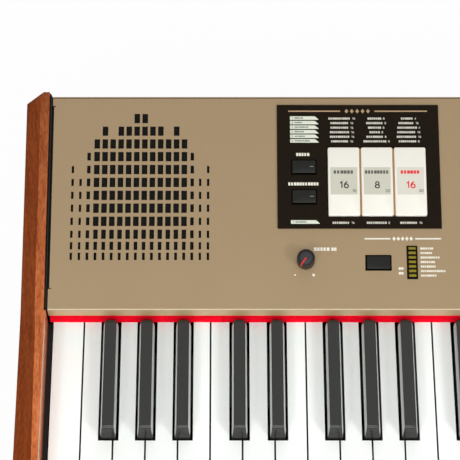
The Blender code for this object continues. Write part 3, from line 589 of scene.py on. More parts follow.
CHERRY = WoodFinish("cherry_wood", "cherry_wood", (175, 95, 54), roughness=0.5, specular=0.3,
                    grain_depth=0.00004)
RAIL = WoodFinish("cherry_wood_rail", "cherry_wood", (175, 95, 54), roughness=0.5, specular=0.3,
                  grain_depth=0.00004, fade=0.0, front_gain=0.78, grain_axis=0)
CHAMPAGNE = FoldedFinish("champagne_metal", "champagne_metal", (153, 131, 99), roughness=0.44,
                         metallic=0.25, mottle=0.012, mottle_scale=14.0, grain_scale=2600.0,
                         grain_depth=0.000012)
STEEL = Finish("black_steel", "black_steel", (34, 33, 32), roughness=0.5, metallic=0.2,
               grain_scale=1400.0, grain_depth=0.00006)
BLACK = Finish("black_plastic", "black_plastic", (31, 31, 30), roughness=0.42, specular=0.15,
               grain_depth=0.000015)
FRAME = Finish("black_light_frame", "black_plastic", (14, 13, 11), roughness=0.6, specular=0.05)
SHARP = SharpFinish("black_key_plastic", "black_key_plastic", (36, 36, 34), roughness=0.14, coat=0.06,
                    specular=0.25, mottle=0.05, mottle_scale=30.0, grain_scale=900.0,
                    grain_depth=0.000003)
WHITE = KeyFinish("white_key_plastic", "white_key_plastic", (251, 254, 250), roughness=0.22, coat=0.2,
                  mottle=0.006, mottle_scale=20.0, grain_depth=0.000002, roughness_swing=0.02)
IVORY = Finish("ivory_plastic", "ivory_plastic", (237, 234, 223), roughness=0.32, specular=0.3,
               mottle=0.008, grain_depth=0.000004)
PLATE = Finish("dark_brown_plate", "dark_brown_plate", (26, 19, 12), roughness=0.5, specular=0.05,
               mottle=0.12, mottle_scale=260.0, grain_scale=3200.0, grain_depth=0.000012)
WINDOW = Finish("grey_window_print", "ivory_plastic", (198, 197, 181), roughness=0.4, mottle=0.015)
PALE_WINDOW = Finish("pale_window_print", "ivory_plastic", (214, 211, 198), roughness=0.4, mottle=0.015)
FELT = FeltFinish("red_felt", "red_felt", (221, 3, 31), specular=0.0, mottle=0.10, grain_depth=0.0004)
CLOTH = WeaveFinish("speaker_cloth", "black_paper", (34, 34, 33), specular=0.05, grain_depth=0.0001)
PAPER = Finish("black_paper", "black_paper", (22, 22, 23), roughness=0.8, specular=0.1, grain_depth=0.00005)
RUBBER = Finish("black_rubber", "black_rubber", (27, 27, 27), roughness=0.8, grain_depth=0.00004)
BOARD = Finish("green_board", "green_board", (26, 74, 44), roughness=0.35, coat=0.2, mottle=0.08)
SCREW = Finish("blackened_screw", "black_steel", (58, 58, 60), roughness=0.3, metallic=0.8)
MILLED = Finish("bare_metal", "bare_metal", (176, 178, 180), roughness=0.34, metallic=0.9)
NICKEL = Finish("nickel", "bare_metal", (200, 198, 192), roughness=0.22, metallic=1.0)
CAP = CapFinish("black_cap_plastic", "black_plastic", (27, 27, 25), roughness=0.42, specular=0.15,
                grain_depth=0.000015)
SPUN = SpunFinish("spun_black", "black_plastic", (30, 30, 31), roughness=0.34, specular=0.25,
                  grain_depth=0.00002)
TAN_PRINT = Finish("tan_print", "dark_brown_plate", (172, 144, 107), roughness=0.5, mottle=0.02)
PALE_PRINT = Finish("pale_print", "dark_brown_plate", (215, 220, 203), roughness=0.5, mottle=0.02)
WHITE_PRINT = Finish("white_print", "champagne_metal", (230, 226, 210), roughness=0.5, mottle=0.02)
SOFT_PRINT = Finish("soft_white_print", "dark_brown_plate", (204, 201, 187), roughness=0.5, mottle=0.02)
GREY_PRINT = Finish("grey_print", "ivory_plastic", (50, 46, 40), roughness=0.5, mottle=0.02)
FAINT_PRINT = Finish("faint_print", "ivory_plastic", (86, 82, 74), roughness=0.5, mottle=0.02)
MOSS_PRINT = Finish("moss_print", "dark_brown_plate", (112, 120, 104), roughness=0.5, mottle=0.02)
# Painted light: the warm glow between the tabs, given to the ribs there.
GAP_GLOW = Finish("painted_gap_glow", "ivory_plastic", (206, 146, 84), roughness=0.5, specular=0.1)
RED_PRINT = Finish("red_print", "ivory_plastic", (222, 42, 54), roughness=0.5, mottle=0.02)
POINTER = Finish("red_pointer", "black_plastic", (226, 34, 38), roughness=0.4, mottle=0.02)
LENS = Finish("olive_lens", "black_plastic", (132, 119, 34), roughness=0.35, specular=0.12, mottle=0.1,
              mottle_scale=400.0)
TICK = Finish("grey_lens", "black_plastic", (112, 111, 106), roughness=0.3, coat=0.2)
# Dark end slits of the panel, and painted shade in the louvre slots.
SEAM_AND_SHADE = Finish("dark_seam_and_shade", "champagne_metal", (20, 18, 16), roughness=0.6, specular=0.05, mottle=0.02)
FOLD = Finish("fold_shade", "champagne_metal", (92, 76, 56), roughness=0.6, specular=0.1, mottle=0.02)


def arc(centre: Flat, radii: Flat, start: float, stop: float, steps: int = 14) -> list[Flat]:
    """Give points along an ellipse's arc, with its angles in degrees."""
    angles = [math.radians(start + (stop - start) * i / steps) for i in range(steps + 1)]
    return [(centre[0] + radii[0] * math.cos(a), centre[1] + radii[1] * math.sin(a)) for a in angles]


def bowl(centre: Flat, radii: Flat) -> tuple[list[Flat], bool]:
    """Give a figure's closed round line."""
    return arc(centre, radii, 0, 340, 17), True


FIGURE_HEIGHT = 1.6
FIGURES = {
    "0": [(arc((0.5, 0.8), (0.5, 0.8), 0, 345, 23), True)],
    "1": [([(0.12, 1.22), (0.56, 1.6), (0.56, 0.0)], False)],
    "2": [(arc((0.5, 1.12), (0.46, 0.48), 170, -30) + [(0.04, 0.0), (1.0, 0.0)], False)],
    "3": [(arc((0.46, 1.2), (0.42, 0.4), 160, -75) + arc((0.46, 0.42), (0.5, 0.42), 75, -160), False)],
    "4": [([(0.74, 0.0), (0.74, 1.6), (0.0, 0.45), (1.0, 0.45)], False)],
    "5": [([(0.92, 1.6), (0.16, 1.6), (0.08, 0.82)] + arc((0.46, 0.5), (0.5, 0.5), 110, -150), False)],
    "6": [bowl((0.5, 0.5), (0.48, 0.5)), (arc((0.92, 0.5), (0.9, 1.1), 176, 100), False)],
    "7": [([(0.0, 1.6), (1.0, 1.6), (0.34, 0.0)], False)],
    "8": [bowl((0.5, 1.2), (0.4, 0.4)), bowl((0.5, 0.42), (0.5, 0.42))],
    "9": [bowl((0.5, 1.1), (0.48, 0.5)), (arc((0.08, 1.1), (0.9, 1.1), -4, -80), False)],
}
NARROW_ONE = 0.62


def pressed(half: float, run: float, share: float) -> tuple[Flat, ...]:
    """Give (place, share of the full size) along a pressed form that falls off over a run at each end."""
    return (-half, share), (run - half, 1.0), (half - run, 1.0), (half, share)


def upright(length: float) -> EdgeTest:
    """Give a test for edges that rise by more than a length."""
    return lambda edge: abs(edge.verts[0].co.z - edge.verts[1].co.z) > length


def over(level: float) -> EdgeTest:
    """Give a test for edges that lie wholly over a level, or within 0.1 mm under it."""
    return lambda edge: min(vertex.co.z for vertex in edge.verts) > level - 0.0001


class Shape:
    """A mesh in the making, from boxes, prisms, lofts and turned profiles."""

    def __init__(self) -> None:
        """Start with nothing."""
        self.bm = bmesh.new()

    def box(self, low: Sequence[float], high: Sequence[float]) -> "Shape":
        """Add a box.

        Args:
            low: Its corner with the lowest coordinates.
            high: Its corner with the highest ones.

        Returns:
            The shape itself.
        """
        low_corner, high_corner = Vector(low), Vector(high)
        size = high_corner - low_corner
        place = Matrix.Translation((low_corner + high_corner) / 2) @ Matrix.Diagonal((*size, 1.0))
        bmesh.ops.create_cube(self.bm, size=1.0, matrix=place)
        return self

    def loft(self, sections: Sequence[Sequence[Sequence[float]]], loop: bool = False) -> "Shape":
        """Skin closed sections of equal point counts.

        Args:
            sections: The sections in order.
            loop: Whether the last one joins the first; else each end gets a cap.

        Returns:
            The shape itself.
        """
        rings = [[self.bm.verts.new(point) for point in section] for section in sections]
        count = len(rings[0])
        for first, second in zip(rings, rings[1:] + rings[:1] if loop else rings[1:]):
            for i in range(count):
                j = (i + 1) % count
                self.bm.faces.new((first[i], first[j], second[j], second[i]))
        if not loop:
            self.bm.faces.new(reversed(rings[0]))
            self.bm.faces.new(rings[-1])
        return self

    def stroke(self, points: Sequence[Flat], width: float, low: float, high: float,
               loop: bool = False) -> "Shape":
        """Sweep a flat stroke of even width along a line, with mitred corners.

        Args:
            points: The line's points.
            width: The stroke's width.
            low: The height of its underside.
            high: The height of its upper side.
            loop: Whether the line closes on itself.

        Returns:
            The shape itself.
        """
        spots = [Vector(point) for point in points]
        count = len(spots)
        sections = []
        for i, spot in enumerate(spots):
            before = spots[i - 1] if loop or i else None
            after = spots[(i + 1) % count] if loop or i < count - 1 else None
            sides = [Vector((-d.y, d.x)).normalized() for d in
                     ([spot - before] if before else []) + ([after - spot] if after else [])]
            normal = sum(sides, Vector((0.0, 0.0))).normalized()
            reach = normal * (width / 2 / max(0.45, normal.dot(sides[0])))
            left, right = spot + reach, spot - reach
            sections.append([(*right, low), (*left, low), (*left, high), (*right, high)])
        return self.loft(sections, loop)

    def prism(self, outline: Sequence[Flat], low: float, high: float) -> "Shape":
        """Raise a flat outline from one height to another."""
        return self.loft([[(x, y, z) for x, y in outline] for z in (low, high)])

    def turned(self, profile: Sequence[Flat], steps: int) -> "Shape":
        """Turn a profile about Z.

        Args:
            profile: Its points as (radius, height); both ends lie on the axis.
            steps: How many sides a full turn has.

        Returns:
            The shape itself.
        """
        rings = []
        for radius, height in profile:
            turns = [0.0] if radius == 0 else [math.tau * i / steps for i in range(steps)]
            rings.append([self.bm.verts.new((radius * math.cos(turn), radius * math.sin(turn), height))
                          for turn in turns])
        for first, second in zip(rings, rings[1:]):
            for i in range(steps):
                j = (i + 1) % steps
                corners = [first[i % len(first)], first[j % len(first)],
                           second[j % len(second)], second[i % len(second)]]
                self.bm.faces.new(list(dict.fromkeys(corners)))
        return self

    def soften(self, width: float, segments: int = 2, angle: float = SHARP_ANGLE,
               pick: EdgeTest = lambda edge: True) -> "Shape":
        """Round the edges that are sharper than an angle.

        Args:
            width: The bevel's width.
            segments: How many faces make the round.
            angle: The least angle between an edge's faces, in degrees.
            pick: A further test that an edge has to pass.

        Returns:
            The shape itself.
        """
        bmesh.ops.recalc_face_normals(self.bm, faces=self.bm.faces)
        limit = math.radians(angle)
        edges = [e for e in self.bm.edges
                 if len(e.link_faces) == 2 and e.calc_face_angle(0.0) > limit and pick(e)]
        bmesh.ops.bevel(self.bm, geom=edges, offset=width, segments=segments, profile=0.5,
                        affect="EDGES", clamp_overlap=True)
        return self

    def number(self, text: str, height: float, centre: Flat, base: float, weight: float) -> "Shape":
        """Add plain raised figures.

        Args:
            text: The figures.
            height: Their height.
            centre: Where their middle lies.
            base: The height that they stand on.
            weight: The width of their strokes.

        Returns:
            The shape itself.
        """
        scale = (height - weight) / FIGURE_HEIGHT
        space = weight * 1.7
        widths = [scale * (NARROW_ONE if digit == "1" else 1.0) for digit in text]
        x = centre[0] - (sum(widths) + space * (len(text) - 1)) / 2
        for digit, width in zip(text, widths):
            for line, loop in FIGURES[digit]:
                points = [(x + u * scale, centre[1] + (v - FIGURE_HEIGHT / 2) * scale) for u, v in line]
                self.stroke(points, weight, base, base + PRINT_THICK, loop)
            x += width + space
        return self

    def piece(self, name: str, finish: Finish, body: str, place: Matrix = Matrix.Identity(4),
              smooth: float = 40.0) -> bpy.types.Object:
        """Turn the shape into a piece of the organ.

        Args:
            name: The piece's name.
            finish: What it is made of.
            body: The body that carries it.
            place: Where the shape's own coordinates lie.
            smooth: Edges sharper than this angle stay sharp, in degrees.

        Returns:
            The new object.
        """
        bmesh.ops.recalc_face_normals(self.bm, faces=self.bm.faces)
        mesh = bpy.data.meshes.new(name)
        self.bm.to_mesh(mesh)
        self.bm.free()
        mesh.shade_smooth()
        mesh.set_sharp_from_angle(angle=math.radians(smooth))
        mesh.materials.append(finish.material())
        item = bpy.data.objects.new(name, mesh)
        bpy.context.scene.collection.objects.link(item)
        item.matrix_world = place
        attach(item, body)
        LOG.info("%s rides on %s", name, body)
        return item


def even_shading(item: bpy.types.Object) -> None:
    """Let an item's large faces lead its shading."""
    item.modifiers.new("even", "WEIGHTED_NORMAL").keep_sharp = True


def dress_node(node: str, finish: Finish, rounding: float = 0.0, segments: int = 2) -> None:
    """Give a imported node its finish, and round its sharp edges.

    Args:
        node: The node's name.
        finish: What it is made of.
        rounding: The width of its rounded edges, or 0 to leave them.
        segments: How many faces make the round.
    """
    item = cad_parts[node]
    item.data.materials.clear()
    item.data.materials.append(finish.material())
    if rounding:
        weld = item.modifiers.new("weld", "WELD")
        weld.merge_threshold = WELD_REACH
        round_edges = item.modifiers.new("round", "BEVEL")
        round_edges.width = rounding
        round_edges.segments = segments
        round_edges.limit_method = "ANGLE"
        round_edges.angle_limit = math.radians(SHARP_ANGLE)
        item.data.shade_smooth()
        even_shading(item)
    LOG.info("node %s is %s", node, finish.name)


def node_span(node: str, axis: int) -> Flat:
    """Give a node's extent along an axis, 0 for X, 1 for Y and 2 for Z."""
    low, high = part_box(node)
    return low[axis], high[axis]


def panel_box(node: str) -> tuple[Vector, Vector]:
    """Give a node's lowest and highest panel coordinates.

    Args:
        node: The node's name.

    Returns:
        The two corners of its box.
    """
    inverse = PLANE.matrix().inverted()
    points = [inverse @ vertex.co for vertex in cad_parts[node].data.vertices]
    low, high = (Vector(pick(p[i] for p in points) for i in range(3)) for pick in (min, max))
    return low, high


@dataclass(frozen=True)
class PanelPlane:
    """The tilted face that the controls stand on."""

    tilt: float = math.radians(10.6)
    slope: float = 0.1694
    origin: Solid = (0.0, -0.005, 0.0936)

    def matrix(self) -> Matrix:
        """Where panel coordinates lie in the frame."""
        return Matrix.Translation(self.origin) @ Matrix.Rotation(self.tilt, 4, "X")

    def at(self, x: float, t: float) -> Matrix:
        """Where a piece with its own origin at a place on the panel lies."""
        return self.matrix() @ Matrix.Translation((x, t, 0))


PLANE = PanelPlane()


@dataclass
class Cheek:
    """A solid wooden end cheek with a flat top and a wide sloped outer edge.

    The ridge between them lies inward by narrow, at the bend and at the nose, and by mitre's second
    value at the rear. Its first value is where that begins. The bend is three distances from the
    panel's front edge, rear is a small chamfer, and edge is the lining's rounding across and down.
    """

    end: End
    flat: float = 0.0067
    drop: float = 0.017
    nose: float = 0.026
    nose_steps: int = 14
    edge: Flat = (0.0010, 0.0019)
    mitre: Flat = (0.0045, 0.0020)
    narrow: Flat = (0.0008, 0.0029)
    cover: float = 0.0012
    rear: Flat = (0.0012, 0.0009)
    rounding: float = 0.0009
    bend: Solid = (0.012, 0.002, 0.014)
    bend_lift: float = 0.0004
    lining_lift: float = 0.0003
    lining_end: float = 0.0006
    lining_room: Flat = (0.004, 0.006)
    lining_steps: int = 5
    joint_air: float = 0.00002

    def tops(self) -> list[Flat]:
        """Give the top line from the front to the rear.

        Returns:
            Its points as (y, z).
        """
        low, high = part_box(f"{self.end.word}_cheek")
        joint_y = node_span("top_panel", 1)[0]
        tilt = math.tan(PLANE.tilt)
        front_z = high.z - (high.y - joint_y) * tilt
        before, middle, after = self.bend
        points = []
        for i in range(self.nose_steps + 1):
            angle = math.pi / 2 * i / self.nose_steps
            points.append((low.y + self.nose * (1 - math.cos(angle)),
                           front_z - self.nose * (1 - math.sin(angle))))
        return points + [(joint_y - before, front_z), (joint_y + middle, front_z + self.bend_lift),
                         (joint_y + after, front_z + (after + self.bend_lift) * tilt), (high.y, high.z)]

    def add_lining(self, shape: Shape, inner: float) -> None:
        """Thicken the cheek beside the keys, with a rounded upper edge.

        Args:
            shape: The cheek.
            inner: Where the cheek's inner face lies behind the keys.
        """
        side = self.end.value
        bottom = node_span(f"{self.end.word}_key_block", 2)[1] + self.lining_lift
        face = inner - side * LINING_STEP
        joint_y = node_span("top_panel", 1)[0] - self.lining_end
        last_y, least = joint_y - self.lining_room[0], bottom + self.lining_room[1]
        tops = [(y, top) for y, top in self.tops() if y < last_y and top > least]
        sections = []
        for y, top in tops + [(joint_y, tops[-1][1])]:
            level = top - self.joint_air
            points = [(inner + side * self.cover, bottom), (face, bottom)]
            for i in range(self.lining_steps + 1):
                angle = math.pi / 2 * i / self.lining_steps
                points.append((face + side * self.edge[0] * (1 - math.cos(angle)),
                               level - self.edge[1] * (1 - math.sin(angle))))
            points.append((inner + side * self.cover, level))
            sections.append([(x, y, z) for x, z in points])
        shape.loft(sections)

    def build(self) -> None:
        """Make the cheek."""
        low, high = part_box(f"{self.end.word}_cheek")
        side = self.end.value
        outer, face = (low.x, high.x) if self.end is End.BASS else (high.x, low.x)
        inner = face + side * LINING_STEP
        ridge = inner + side * self.flat
        tops = self.tops()
        rear_y, rear_top = tops.pop()
        tilt = math.tan(PLANE.tilt)
        tops += [(rear_y - back, rear_top - back * tilt) for back in (self.mitre[0], self.rear[0])]
        tops.append((rear_y, rear_top - self.rear[1]))
        shifts = [self.narrow[1]] * (self.nose_steps + 1) + [self.narrow[0], 0.0, 0.0, 0.0]
        shifts += [self.mitre[1] * 0.7, self.mitre[1]]
        ridges = [ridge - side * shift for shift in shifts]
        shape = Shape().loft([
            [(inner, y, low.z), (inner, y, top), (crest, y, top), (outer, y, top - self.drop),
             (outer, y, low.z)] for (y, top), crest in zip(tops, ridges)])
        shape.soften(self.rounding, 3, 24)
        self.add_lining(shape, inner)
        cheek = shape.piece(f"{self.end.word}_wooden_cheek", CHERRY, CASE)
        even_shading(cheek)
        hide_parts(f"{self.end.word}_cheek")


@dataclass
class GapStrip:
    """The black bead between a cheek and the metal panel, with a pointed tail at the rear."""

    end: End
    tail: float = 0.0029
    depth: float = -0.0034
    shoulder: float = -0.0022
    crown: float = -0.0012
    crown_share: float = 0.4
    inset: float = 0.0006
    point: Flat = (0.3, 0.75)

    def build(self) -> None:
        """Make the bead along the panel's end."""
        panel_low, panel_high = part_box("top_panel")
        cheek_low, cheek_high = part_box(f"{self.end.word}_cheek")
        if self.end is End.BASS:
            low_x, high_x = cheek_high.x - LINING_STEP + AIR, panel_low.x - AIR
        else:
            low_x, high_x = panel_high.x + AIR, cheek_low.x + LINING_STEP - AIR
        middle = (low_x + high_x) / 2
        half = (high_x - low_x) / 2
        top = half * self.crown_share
        section = [(middle - half, self.depth), (middle + half, self.depth), (middle + half, self.shoulder),
                   (middle + top, self.crown), (middle - top, self.crown), (middle - half, self.shoulder)]
        side = low_x if self.end is End.BASS else high_x
        full = (1.0, 1.0)
        ends = ((self.inset, full), (PLANE.slope - self.inset, full), (PLANE.slope + self.tail, self.point))
        shape = Shape().loft([[(side + (x - side) * share, t, self.crown + (h - self.crown) * deep)
                               for x, h in section] for t, (share, deep) in ends])
        shape.piece(f"{self.end.word}_gap_strip", BLACK, CASE, PLANE.matrix())


@dataclass
class ControlPanel:
    """The champagne metal panel, its end slits and its grille cloth.

    A slit's foot has a length and a width. The rear fold's shade is that far from the rear and that
    wide, and the cloth is two heights.
    """

    rounding: float = 0.0002
    grille_x: float = 0.4643
    grille_half: Flat = (0.0565, 0.0605)
    grille_t: float = 0.0965
    half: float = 0.5316
    slit: float = 0.0009
    slit_t: Flat = (0.0161, 0.1615)
    foot: Flat = (0.0014, 0.0006)
    shade: Flat = (0.0015, 0.0006)
    cloth: Flat = (-0.00172, -0.00156)

    def seams(self) -> None:
        """Draw the relief slits along the ends and the shade of the rear fold."""
        slits = PrintSheet(AIR)
        low, high = self.slit_t
        for end in End:
            slits.bar((end.value * (self.half - self.slit / 2), (low + high) / 2), self.slit, high - low)
            for t in (low + self.foot[1] / 2, high - self.foot[1] / 2):
                slits.bar((end.value * (self.half - self.slit - self.foot[0] / 2), t), *self.foot)
        slits.print("panel_end_slits", SEAM_AND_SHADE)
        fold = PrintSheet(AIR)
        fold.bar((0.0, PLANE.slope - self.shade[0]), 2 * self.half - self.shade[1], self.shade[1])
        fold.print("panel_rear_fold_shade", FOLD)

    def build(self) -> None:
        """Dress the folded sheet and stretch cloth behind its grilles."""
        dress_node("top_panel", CHAMPAGNE, self.rounding)
        self.seams()
        under, over = self.cloth
        for end in End:
            x = end.value * self.grille_x
            half_x, half_t = self.grille_half
            shape = Shape().box((x - half_x, self.grille_t - half_t, under),
                                (x + half_x, self.grille_t + half_t, over))
            cloth = shape.piece(f"{end.word}_speaker_cloth", CLOTH, CASE, PLANE.matrix())
            dress_node(f"{end.word}_speaker", PAPER)


@dataclass
class PrintSheet:
    """Printed marks of one colour, all on one level of the panel."""

    level: float
    shape: Shape = field(default_factory=Shape)
    block_share: float = 0.92
    block_widths: tuple[float, ...] = (0.84, 0.72, 0.88, 0.78, 0.68)
    block_stride: int = 3
    dot_sides: int = 20

    def bar(self, centre: Flat, length: float, height: float) -> None:
        """Add a plain bar.

        Args:
            centre: Where its middle lies.
            length: Its extent across the panel.
            height: Its extent up the slope.
        """
        x, t = centre
        self.shape.box((x - length / 2, t - height / 2, self.level),
                       (x + length / 2, t + height / 2, self.level + PRINT_THICK))

    def blocks(self, centre: Flat, length: float, height: float) -> None:
        """Add a row of small plain blocks.

        Args:
            centre: Where the row's middle lies.
            length: The row's length.
            height: The blocks' extent up the slope.
        """
        x, t = centre
        count = max(2, round(length / (height * self.block_share)))
        pitch = length / count
        for i in range(count):
            left = x - length / 2 + i * pitch
            width = pitch * self.block_widths[(i * self.block_stride + count) % len(self.block_widths)]
            self.shape.box((left, t - height / 2, self.level),
                           (left + width, t + height / 2, self.level + PRINT_THICK))

    def outline(self, points: Sequence[Flat]) -> None:
        """Add a flat mark with the given outline."""
        self.shape.prism(points, self.level, self.level + PRINT_THICK)

    def divider(self, rules: Sequence[Flat], t: float, thick: float, lozenges: Sequence[float],
                half: Flat) -> None:
        """Add a line of rules with a row of lozenges between them.

        Args:
            rules: Where each rule starts and ends across the panel.
            t: The line's place up the slope.
            thick: The rules' thickness.
            lozenges: Where each lozenge lies across the panel.
            half: A lozenge's half width and half height.
        """
        for low, high in rules:
            self.bar(((low + high) / 2, t), abs(high - low), thick)
        for x in lozenges:
            self.outline([(x - half[0], t), (x, t - half[1]), (x + half[0], t), (x, t + half[1])])

    def dot(self, centre: Flat, radius: float) -> None:
        """Add a round dot."""
        turns = [math.tau * i / self.dot_sides for i in range(self.dot_sides)]
        self.outline([(centre[0] + radius * math.cos(a), centre[1] + radius * math.sin(a)) for a in turns])

    def number(self, text: str, centre: Flat, size: float, weight: float) -> None:
        """Add plain figures."""
        self.shape.number(text, size, centre, self.level, weight)

    def print(self, name: str, finish: Finish, body: str = CASE) -> None:
        """Put the marks on the piece."""
        self.shape.piece(name, finish, body, PLANE.matrix())


@dataclass
class StopPlate:
    """A dark printed plate with its marks, which holds the tabs.

    The list's rows run down from the first one; the last row stands alone under the tabs. A
    figure's sizes are its height and the weight of its strokes.
    """

    end: End
    family: str
    level: float = 0.0013 + AIR
    rounding: float = 0.0002
    rules: tuple[Flat, ...] = ((-0.3526, -0.3132), (-0.2871, -0.2470))
    heading_t: float = 0.1568
    rule_thick: float = 0.0010
    lozenge_x: float = -0.30015
    lozenge_pitch: float = 0.0041
    lozenge_half: Flat = (0.0014, 0.0018)
    row_pitch: float = 0.00370
    first_row: float = 0.1508
    last_row: float = 0.0673
    columns: tuple[float, ...] = (-0.3119, -0.2860, -0.2613)
    rows: int = 6
    row_lengths: tuple[tuple[float, ...], ...] = (
        (0.0166, 0.0136, 0.0136, 0.0146, 0.0148, 0.0130, 0.0128),
        (0.0106, 0.0128, 0.0100, 0.0080, 0.0128, 0.0176, 0.0150),
        (0.0092, 0.0116, 0.0150, 0.0138, 0.0146, 0.0134, 0.0128))
    feet: tuple[tuple[str, ...], ...] = (("16",) * 7, ("8",) * 7, ("4", "16", "4", "16", "16", "8", "16"))
    row_height: float = 0.00165
    feet_figure: Flat = (0.0018, 0.0003)
    feet_width: float = 0.0016
    feet_space: Flat = (0.0003, 0.0006)
    pennant_x: Solid = (-0.3513, -0.3325, -0.3298)
    pennant_half: float = 0.00142
    pennant_tip: float = 0.0004
    pennant_lifts: Flat = (0.0004, 0.0006)
    pennant_lengths: tuple[float, ...] = (0.0066, 0.0056, 0.0104, 0.0070, 0.0080, 0.0116, 0.0084)
    pennant_height: float = 0.0011
    pennant_figure: Flat = (0.0017, 0.00028)
    pennant_marks_x: Flat = (-0.3496, -0.3478)
    button_labels: tuple[tuple[Flat, float], ...] = (((-0.3418, 0.1217), 0.0102), ((-0.3414, 0.0981), 0.0232))
    label_height: float = 0.0024
    rib_half: float = 0.0003
    rib_t: Flat = (0.0732, 0.1262)
    rib_h: Flat = (-0.0090, 0.0021)

    @property
    def name(self) -> str:
        """The plate's node."""
        return f"{self.family}_stop_plate"

    def side(self, x: float) -> float:
        """Mirror a place at the bass end for the plate at the treble end."""
        return x if self.end is End.BASS else -x

    def heading(self) -> None:
        """Print the heading's two rules with a row of lozenges between them."""
        sheet = PrintSheet(self.level)
        rules = [(self.side(low), self.side(high)) for low, high in self.rules]
        lozenges = [self.side(self.lozenge_x + i * self.lozenge_pitch) for i in range(-2, 3)]
        sheet.divider(rules, self.heading_t, self.rule_thick, lozenges, self.lozenge_half)
        sheet.print(f"{self.name}_heading", TAN_PRINT)

    def pennants(self) -> None:
        """Print the pennants, with a number and a row of small blocks on each."""
        flags = PrintSheet(self.level)
        figures = PrintSheet(self.level + OVERPRINT)
        low_x, shoulder_x, tip_x = (self.side(x) for x in self.pennant_x)
        half = self.pennant_half
        list_lift, last_lift = self.pennant_lifts
        places = [self.first_row + list_lift - i * self.row_pitch for i in range(self.rows)]
        places.append(self.last_row + last_lift)
        figure_x, block_x = self.pennant_marks_x
        for number, (t, length) in enumerate(zip(places, self.pennant_lengths), start=1):
            flags.outline([(low_x, t - half), (tip_x, t - half), (tip_x, t - half + self.pennant_tip),
                           (shoulder_x, t + half), (low_x, t + half)])
            figures.number(str(number), (self.side(figure_x), t), *self.pennant_figure)
            figures.blocks((self.side(block_x + length / 2), t), length, self.pennant_height)
        flags.print(f"{self.name}_pennants", PALE_PRINT)
        figures.print(f"{self.name}_pennant_marks", MOSS_PRINT)

    def rows_of_marks(self) -> None:
        """Print the rows over and under the tabs: small blocks and a pipe length each."""
        sheet = PrintSheet(self.level)
        for x, column, marks in zip(self.columns, self.row_lengths, self.feet):
            for row, (length, mark) in enumerate(zip(column, marks)):
                t = self.first_row - row * self.row_pitch if row < self.rows else self.last_row
                before, after = self.feet_space
                middle = self.side(x) - self.feet_width * len(mark) / 2 - before
                sheet.blocks((middle, t), length, self.row_height)
                sheet.number(mark, (self.side(x) + length / 2 + after, t), *self.feet_figure)
        sheet.print(f"{self.name}_rows", SOFT_PRINT)

    def label_buttons(self) -> None:
        """Print a row of blocks over each of the two buttons."""
        sheet = PrintSheet(self.level)
        for centre, length in self.button_labels:
            sheet.blocks(centre, length, self.label_height)
        sheet.print(f"{self.name}_button_labels", WHITE_PRINT)

    def ribs(self) -> None:
        """Set an amber rib between each tab and the next: painted light for the glow in the gaps."""
        spans = [node_span(f"{self.family}_tab_{number}", 0) for number in (1, 2, 3)]
        shape = Shape()
        for before, after in zip(spans, spans[1:]):
            middle = (before[1] + after[0]) / 2
            shape.box((middle - self.rib_half, self.rib_t[0], self.rib_h[0]),
                      (middle + self.rib_half, self.rib_t[1], self.rib_h[1]))
        shape.piece(f"{self.name}_ribs", GAP_GLOW, CASE, PLANE.matrix())

    def build(self) -> None:
        """Dress the plate and print it."""
        dress_node(self.name, PLATE, self.rounding)
        self.heading()
        self.pennants()
        self.rows_of_marks()
        self.ribs()
        if self.end is End.BASS:
            self.label_buttons()


@dataclass
class RockerTab:
    """An ivory tab with a printed grey window.

    The foot's insets are from the tab's sides, and from its rear to the foot's two faces. The figures
    are a place up the slope, a height and a weight each, and the blocks a place and a height.
    """

    name: str
    pipe_length: str
    order: str
    row: float
    red: bool = False
    top: float = 0.0032
    thick: float = 0.0048
    radius: float = 0.0013
    rounding: float = 0.0007
    foot_inset: Solid = (0.0020, 0.0045, 0.0006)
    foot_bottom: float = -0.0092
    window_t: Flat = (0.0890, 0.1108)
    window_margin: float = 0.0017
    figure: Solid = (0.0967, 0.0058, 0.00095)
    blocks: Flat = (0.1069, 0.0026)
    small: Solid = (0.0920, 0.0024, 0.00036)
    small_inset: float = 0.0042

    def cap(self, low: Vector, high: Vector) -> None:
        """Make the rocker with its soft corners, and the foot under its rear.

        Args:
            low: The node's lowest panel coordinates.
            high: Its highest ones.
        """
        shape = Shape().box((low.x, low.y, self.top - self.thick), (high.x, high.y, self.top))
        shape.soften(self.radius, 4, pick=upright(self.thick / 2))
        shape.soften(self.rounding, 3, 50, pick=over(self.top))
        side, front, rear = self.foot_inset
        shape.box((low.x + side, high.y - front, self.foot_bottom),
                  (high.x - side, high.y - rear, self.top - self.thick / 2))
        tab = shape.piece(f"{self.name}_cap", IVORY, self.name, PLANE.matrix())
        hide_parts(self.name)

    def build(self) -> None:
        """Make the tab, its window and its figures."""
        low, high = panel_box(self.name)
        self.cap(low, high)
        middle = (low.x + high.x) / 2
        level = self.top + AIR
        window = PrintSheet(level)
        window.bar((middle, sum(self.window_t) / 2), high.x - low.x - 2 * self.window_margin,
                   self.window_t[1] - self.window_t[0])
        window.print(f"{self.name}_window", PALE_WINDOW if self.red else WINDOW, self.name)
        marks = PrintSheet(level + OVERPRINT)
        marks.number(self.pipe_length, (middle, self.figure[0]), *self.figure[1:])
        marks.print(f"{self.name}_figure", RED_PRINT if self.red else GREY_PRINT, self.name)
        words = PrintSheet(level + OVERPRINT)
        words.blocks((middle, self.blocks[0]), self.row, self.blocks[1])
        words.print(f"{self.name}_blocks", RED_PRINT if self.red else FAINT_PRINT, self.name)
        small = PrintSheet(level + OVERPRINT)
        small.number(self.order, (high.x - self.small_inset, self.small[0]), *self.small[1:])
        small.print(f"{self.name}_order", FAINT_PRINT, self.name)


